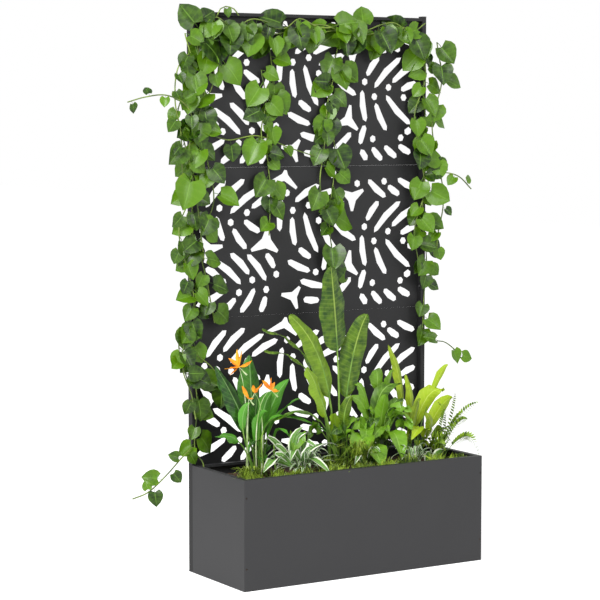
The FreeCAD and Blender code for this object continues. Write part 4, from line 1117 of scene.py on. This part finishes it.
# Each flower: heart, tips of the sepals, tip of the bract, and a point that its stalk passes.
FLOWERS = [
    (
        (-374, -14, 674),
        [(-385, -22, 731), (-363, -14, 725), (-408, -6, 703), (-430, -22, 672), (-406, -14, 650),
         (-322, -6, 690)],
        (-348, -20, 647), (-340, 0, 540),
    ),
    (
        (-339, -16, 571), [(-369, -24, 616), (-350, -16, 600), (-316, -8, 571)],
        (-324, -22, 551), (-334, 0, 470),
    ),
    (
        (-314, -10, 587), [(-325, -18, 614), (-288, -10, 615), (-298, -2, 601)],
        (-332, -16, 564), (-284, -4, 500),
    ),
    (
        (-256, -12, 593),
        [(-294, -20, 628), (-256, -12, 633), (-237, -4, 616), (-230, -20, 589), (-271, -12, 613)],
        (-234, -18, 570), (-300, -6, 510),
    ),
]
paradise = Foliage(32, LARGE, 0.4, 0.003, 0.8)
paradise.leaves(PARADISE, 0.0035)
paradise.mound((-268, 30), 8, 70, 130, 0.35, 34, 0.002)
paradise.grid, paradise.form = MEDIUM, (0.4, 0.001, 1.0)
for heart_at, sepals, bract, passing in FLOWERS:
    for index, tip in enumerate(sepals):
        half_way = [
            (a + b) / 2 + 2 * math.sin(3 * index + axis)
            for axis, (a, b) in enumerate(zip(heart_at, tip))
        ]
        paradise.blade(arched(heart_at, half_way, tip), 0.0, 0.0135, 0.6 * math.sin(2.0 * index), 2)
    half_way = [(a + b) / 2 for a, b in zip(heart_at, bract)]
    paradise.stalk(arched(bract, half_way, heart_at), 1.0, 0.003, 3)
    paradise.stalk(arched((passing[0] + 6, 10, ROOT_Z), passing, heart_at), 1.0, 0.0028, 3)
paradise.finish(
    "flowering_leaves", "flowering_plant", [waxy_leaf, fleshy_stalk, sepal, pale_bract]
)


# ---------------------------------------------------------------------------------------------
# Broad-leaved plant right of the middle: a loose rosette of glossy oval leaves, some turned
# over and hanging towards the rim.
# ---------------------------------------------------------------------------------------------

glossy_leaf = leaf_surface("glossy_leaf", "#0F2E02", "#6E9D22", "#A2C864", 8.0, 0.32, ribs=0.12)
BROADLEAF = [
    ((190, 90), (207, 80, 534), (196, 70, 622), 0.56, 53, 0.0),
    ((204, 84), (234, 78, 522), (263, 68, 615), 0.50, 31, 0.3),
    ((182, 70), (144, 50, 519), (88, 30, 581), 0.34, 38, 0.4),
    ((200, 76), (195, 56, 521), (283, 50, 569), 0.26, 50, -0.4),
    ((180, 60), (140, 44, 487), (62, 20, 541), 0.34, 41, 0.4),
    ((196, 60), (197, 40, 456), (196, 10, 546), 0.38, 53, 0.0),
    ((210, 64), (240, 40, 473), (307, 20, 477), 0.26, 46, -0.3),
    ((206, 70), (239, 50, 485), (285, 36, 513), 0.30, 30, -0.3),
    ((214, 50), (207, -10, 422), (192, -90, 345), 0.46, 76, 0.2),
    ((170, 30), (106, -20, 418), (0, -88, 362), 0.52, 78, -0.1),
    ((190, 24), (109, -50, 389), (88, -128, 334), 0.46, 80, 0.1),
    ((176, 50), (110, 10, 447), (44, -20, 443), 0.40, 48, 0.4),
    ((180, 40), (119, 0, 434), (72, -60, 390), 0.44, 48, -0.3),
    ((200, 40), (178, 0, 430), (104, -46, 409), 0.40, 41, 0.3),
    ((220, 60), (252, 10, 442), (279, -20, 424), 0.40, 43, -0.3),
    ((160, 40), (66, -10, 420), (4, -40, 429), 0.50, 34, 0.6),
    ((30, 10), (-106, -26, 503), (-262, -42, 498), 0.40, 50, 1.2),
    ((20, 0), (-96, -40, 462), (-152, -60, 424), 0.40, 54, 0.5),
    ((-160, -30), (-178, -50, 440), (-212, -74, 398), 0.42, 62, 0.1),
    ((40, -10), (0, -40, 440), (-70, -70, 446), 0.42, 50, 0.3),
]
broad = Foliage(33, MEDIUM, 0.25, 0.003, 0.62)
broad.leaves(BROADLEAF, 0.0026)
broad.mound((180, 30), 34, 120, 190, 0.5, 46, 0.0016)
broad.mound((100, 10), 14, 90, 120, 0.5, 40, 0.0016)
broad.finish("broad_leaves", "broadleaf_plant", [glossy_leaf, fleshy_stalk])


# ---------------------------------------------------------------------------------------------
# Lime-coloured plant at the right: upright lance leaves, yellow-green all over, with small ones
# that fill the clump.
# ---------------------------------------------------------------------------------------------

lime_leaf = leaf_surface("lime_leaf", "#2F4F02", "#98B21C", "#CBDA68", 10.0, 0.4, ribs=0.12)
LIME = [
    ((312, 96), (313, 94, 535), (257, 90, 697), 0.36, 36, 0.1),
    ((330, 92), (346, 82, 480), (319, 80, 597), 0.28, 34, 0.1),
    ((338, 84), (383, 60, 500), (455, 40, 538), 0.22, 62, -0.3),
    ((350, 80), (413, 56, 532), (469, 44, 624), 0.50, 26, -0.2),
    ((352, 64), (422, 40, 466), (473, 20, 512), 0.24, 50, -0.3),
    ((322, 70), (336, 50, 451), (353, 40, 518), 0.30, 38, 0.2),
    ((330, 40), (330, 6, 417), (264, -36, 394), 0.44, 38, -0.2),
    ((344, 50), (383, 24, 417), (352, 16, 474), 0.30, 34, 0.2),
    ((318, 60), (306, 30, 442), (256, 16, 475), 0.30, 34, 0.5),
    ((360, 40), (405, 10, 404), (417, -20, 413), 0.30, 34, -0.4),
]
lime = Foliage(34, MEDIUM, 0.35, 0.003, 0.75)
lime.leaves(LIME, 0.002)
lime.mound((330, 20), 12, 80, 120, 0.4, 34, 0.0015)
lime.finish("lime_leaves", "lime_plant", [lime_leaf, fleshy_stalk])


# ---------------------------------------------------------------------------------------------
# Striped plants along the front: arching strap leaves with broad white edges, over tufts of
# narrow ones.
# ---------------------------------------------------------------------------------------------

striped_leaf = leaf_surface(
    "striped_leaf", "#274F14", "#5F8C38", "#B9D3A0", 2.0, 0.42,
    stripe=("#E0E8D0", 0.6, 0.74), ribs=0.0,
)
STRIPED = [
    ((-178, -60), (-256, -78, 417), (-321, -96, 460), 0.20, 25, 0.3),
    ((-170, -56), (-214, -70, 419), (-170, -64, 475), 0.16, 28, 0.1),
    ((-176, -74), (-290, -110, 387), (-368, -150, 358), 0.22, 34, 0.2),
    ((-150, -70), (-172, -110, 379), (-130, -166, 336), 0.30, 37, 0.1),
    ((-166, -64), (-175, -90, 399), (-85, -84, 420), 0.20, 23, -0.4),
    ((-180, -70), (-252, -96, 407), (-310, -120, 434), 0.20, 21, 0.4),
    ((-164, -60), (-199, -70, 437), (-134, -60, 449), 0.20, 23, -0.1),
    ((-150, -56), (-170, -70, 422), (-134, -96, 406), 0.20, 23, -0.3),
    ((-186, -66), (-265, -106, 396), (-331, -130, 399), 0.20, 21, 0.4),
    ((-160, -70), (-218, -100, 404), (-264, -140, 382), 0.24, 23, 0.1),
    ((46, -84), (10, -118, 372), (-34, -150, 352), 0.20, 18, 0.3),
    ((56, -80), (60, -112, 392), (70, -146, 384), 0.20, 17, 0.0),
    ((290, -86), (294, -96, 350), (288, -106, 366), 0.10, 34, 0.2),
    ((312, -84), (336, -92, 350), (350, -104, 362), 0.10, 34, -0.2),
]
striped = Foliage(35, MEDIUM, 0.35, 0.001, 0.7)
striped.leaves(STRIPED, 0.0015)
striped.mound((-172, -80), 46, 130, 110, 0.15, 11, 0.0)
striped.mound((240, -90), 26, 80, 80, 0.15, 8, 0.0)
striped.finish("striped_leaves", "striped_plant", [striped_leaf, fleshy_stalk])


# ---------------------------------------------------------------------------------------------
# Fern at the right end: thin arching midribs with pairs of small pointed leaflets, airy enough
# to see through.
# ---------------------------------------------------------------------------------------------

fern_leaf = leaf_surface("fern_leaf", "#1E3E05", "#84A424", "#9CC766", 3.0, 0.5)
FERN = [
    ((384, -12), (441, -20, 452), (453, -20, 535)),
    ((388, -14), (454, -24, 441), (537, -34, 500)),
    ((386, -20), (444, -28, 419), (485, -44, 448)),
    ((390, -24), (448, -40, 377), (490, -60, 389)),
    ((392, -30), (466, -54, 394), (502, -90, 332)),
    ((378, -6), (401, -14, 421), (419, -10, 482)),
    ((376, -14), (368, -20, 397), (359, -10, 437)),
    ((374, -24), (362, -40, 374), (381, -70, 369)),
    ((380, 0), (431, 0, 430), (405, 10, 505)),
    ((386, -4), (440, -10, 410), (489, -10, 470)),
]
LEAFLET_PAIRS = 14
fern = Foliage(36, SMALL, 0.1, 0.0, 0.7)
for root, via, tip in FERN:
    rib = arched((*root, ROOT_Z), via, tip)
    fern.stalk(rib, 1.0, 0.0011)
    for pair in range(LEAFLET_PAIRS):
        share = pair / (LEAFLET_PAIRS - 1)
        t = 0.36 + 0.62 * share
        along = (rib(t + 0.01) - rib(t - 0.01)).normalized()
        reach = 0.021 * math.sin(math.pi * (0.25 + 0.7 * share))
        for side in (-1, 1):
            out = along.cross(FRONT).normalized() * side + along * 0.5 + FRONT * 0.2
            start = rib(t) * 1000
            end = start + out.normalized() * reach * 1000
            fern.blade(arched(start, (start + end) / 2, end), 0.0, 0.008, 0.8 * side)
fern.mound((376, -40), 60, 60, 110, 0.2, 6, 0.0)
fern.finish("fern_fronds", "fern", [fern_leaf, fleshy_stalk])


# ---------------------------------------------------------------------------------------------
# Ground cover: moss cushions with short grass along the front of the box, and taller tufts at
# the left corner and under the banana plant, yellow-green where they are thick.
# ---------------------------------------------------------------------------------------------

moss = streaked("moss_green", "#213D06", "#A2BE38")
# Each cushion: x, y, width and height in mm.
CUSHIONS = [
    (-395, -120, 74, 40),
    (-300, -128, 60, 34),
    (190, -126, 82, 30),
    (300, -130, 60, 28),
    (-210, -124, 90, 24),
    (-90, -128, 110, 24),
    (20, -130, 90, 22),
    (110, -124, 80, 24),
    (390, -120, 60, 18),
]
cover = bmesh.new()
for x, y, wide, tall in CUSHIONS:
    ball = bmesh.ops.create_icosphere(cover, subdivisions=3, radius=1.0)
    for vert in ball["verts"]:
        rough = 1 + 0.12 * math.sin(23 * vert.co.x + x / 200) * math.sin(19 * vert.co.y)
        vert.co = Vector((
            x / 1000 + vert.co.x * rough * wide / 2000,
            y / 1000 + vert.co.y * rough * wide * 0.00032,
            soil_high.z + max(vert.co.z, -0.1) * rough * tall / 1000,
        ))
cover_mesh = bpy.data.meshes.new("ground_cover_moss")
cover.to_mesh(cover_mesh)
cover.free()
cover_mesh.polygons.foreach_set("use_smooth", [True] * len(cover_mesh.polygons))
moss_piece = link_mesh("ground_cover_moss", cover_mesh, [moss])
declare(moss_piece, "ground_cover")

bent = blade_on(arched((0, 0, 0), (60, 0, 560), (330, 0, 960)), 0, 0.11, 0.5, 0.2, 0, 0.6)
one_blade = bpy.data.objects.new("one_blade", blade_mesh("grass_blade", *SMALL, bent, 0.03))
grass = grow(
    "grass", moss_piece, scatter,
    {
        "Piece": one_blade, "Pieces per square metre": 22000.0, "Smallest": (0.016, 0.016, 0.016),
        "Largest": (0.034, 0.034, 0.034), "Tilt": 0.5, "Finish": moss,
    },
)
declare(grass)

tufts = Foliage(37, SMALL, 0.1, 0.0, 0.6)
tufts.mound((-392, -118), 130, 70, 70, 0.05, 4, 0.0)
tufts.mound((30, -84), 170, 90, 110, 0.05, 5, 0.0)
tufts.mound((-90, -60), 80, 80, 70, 0.05, 5, 0.0)
tufts.finish("grass_tufts", None, [moss])
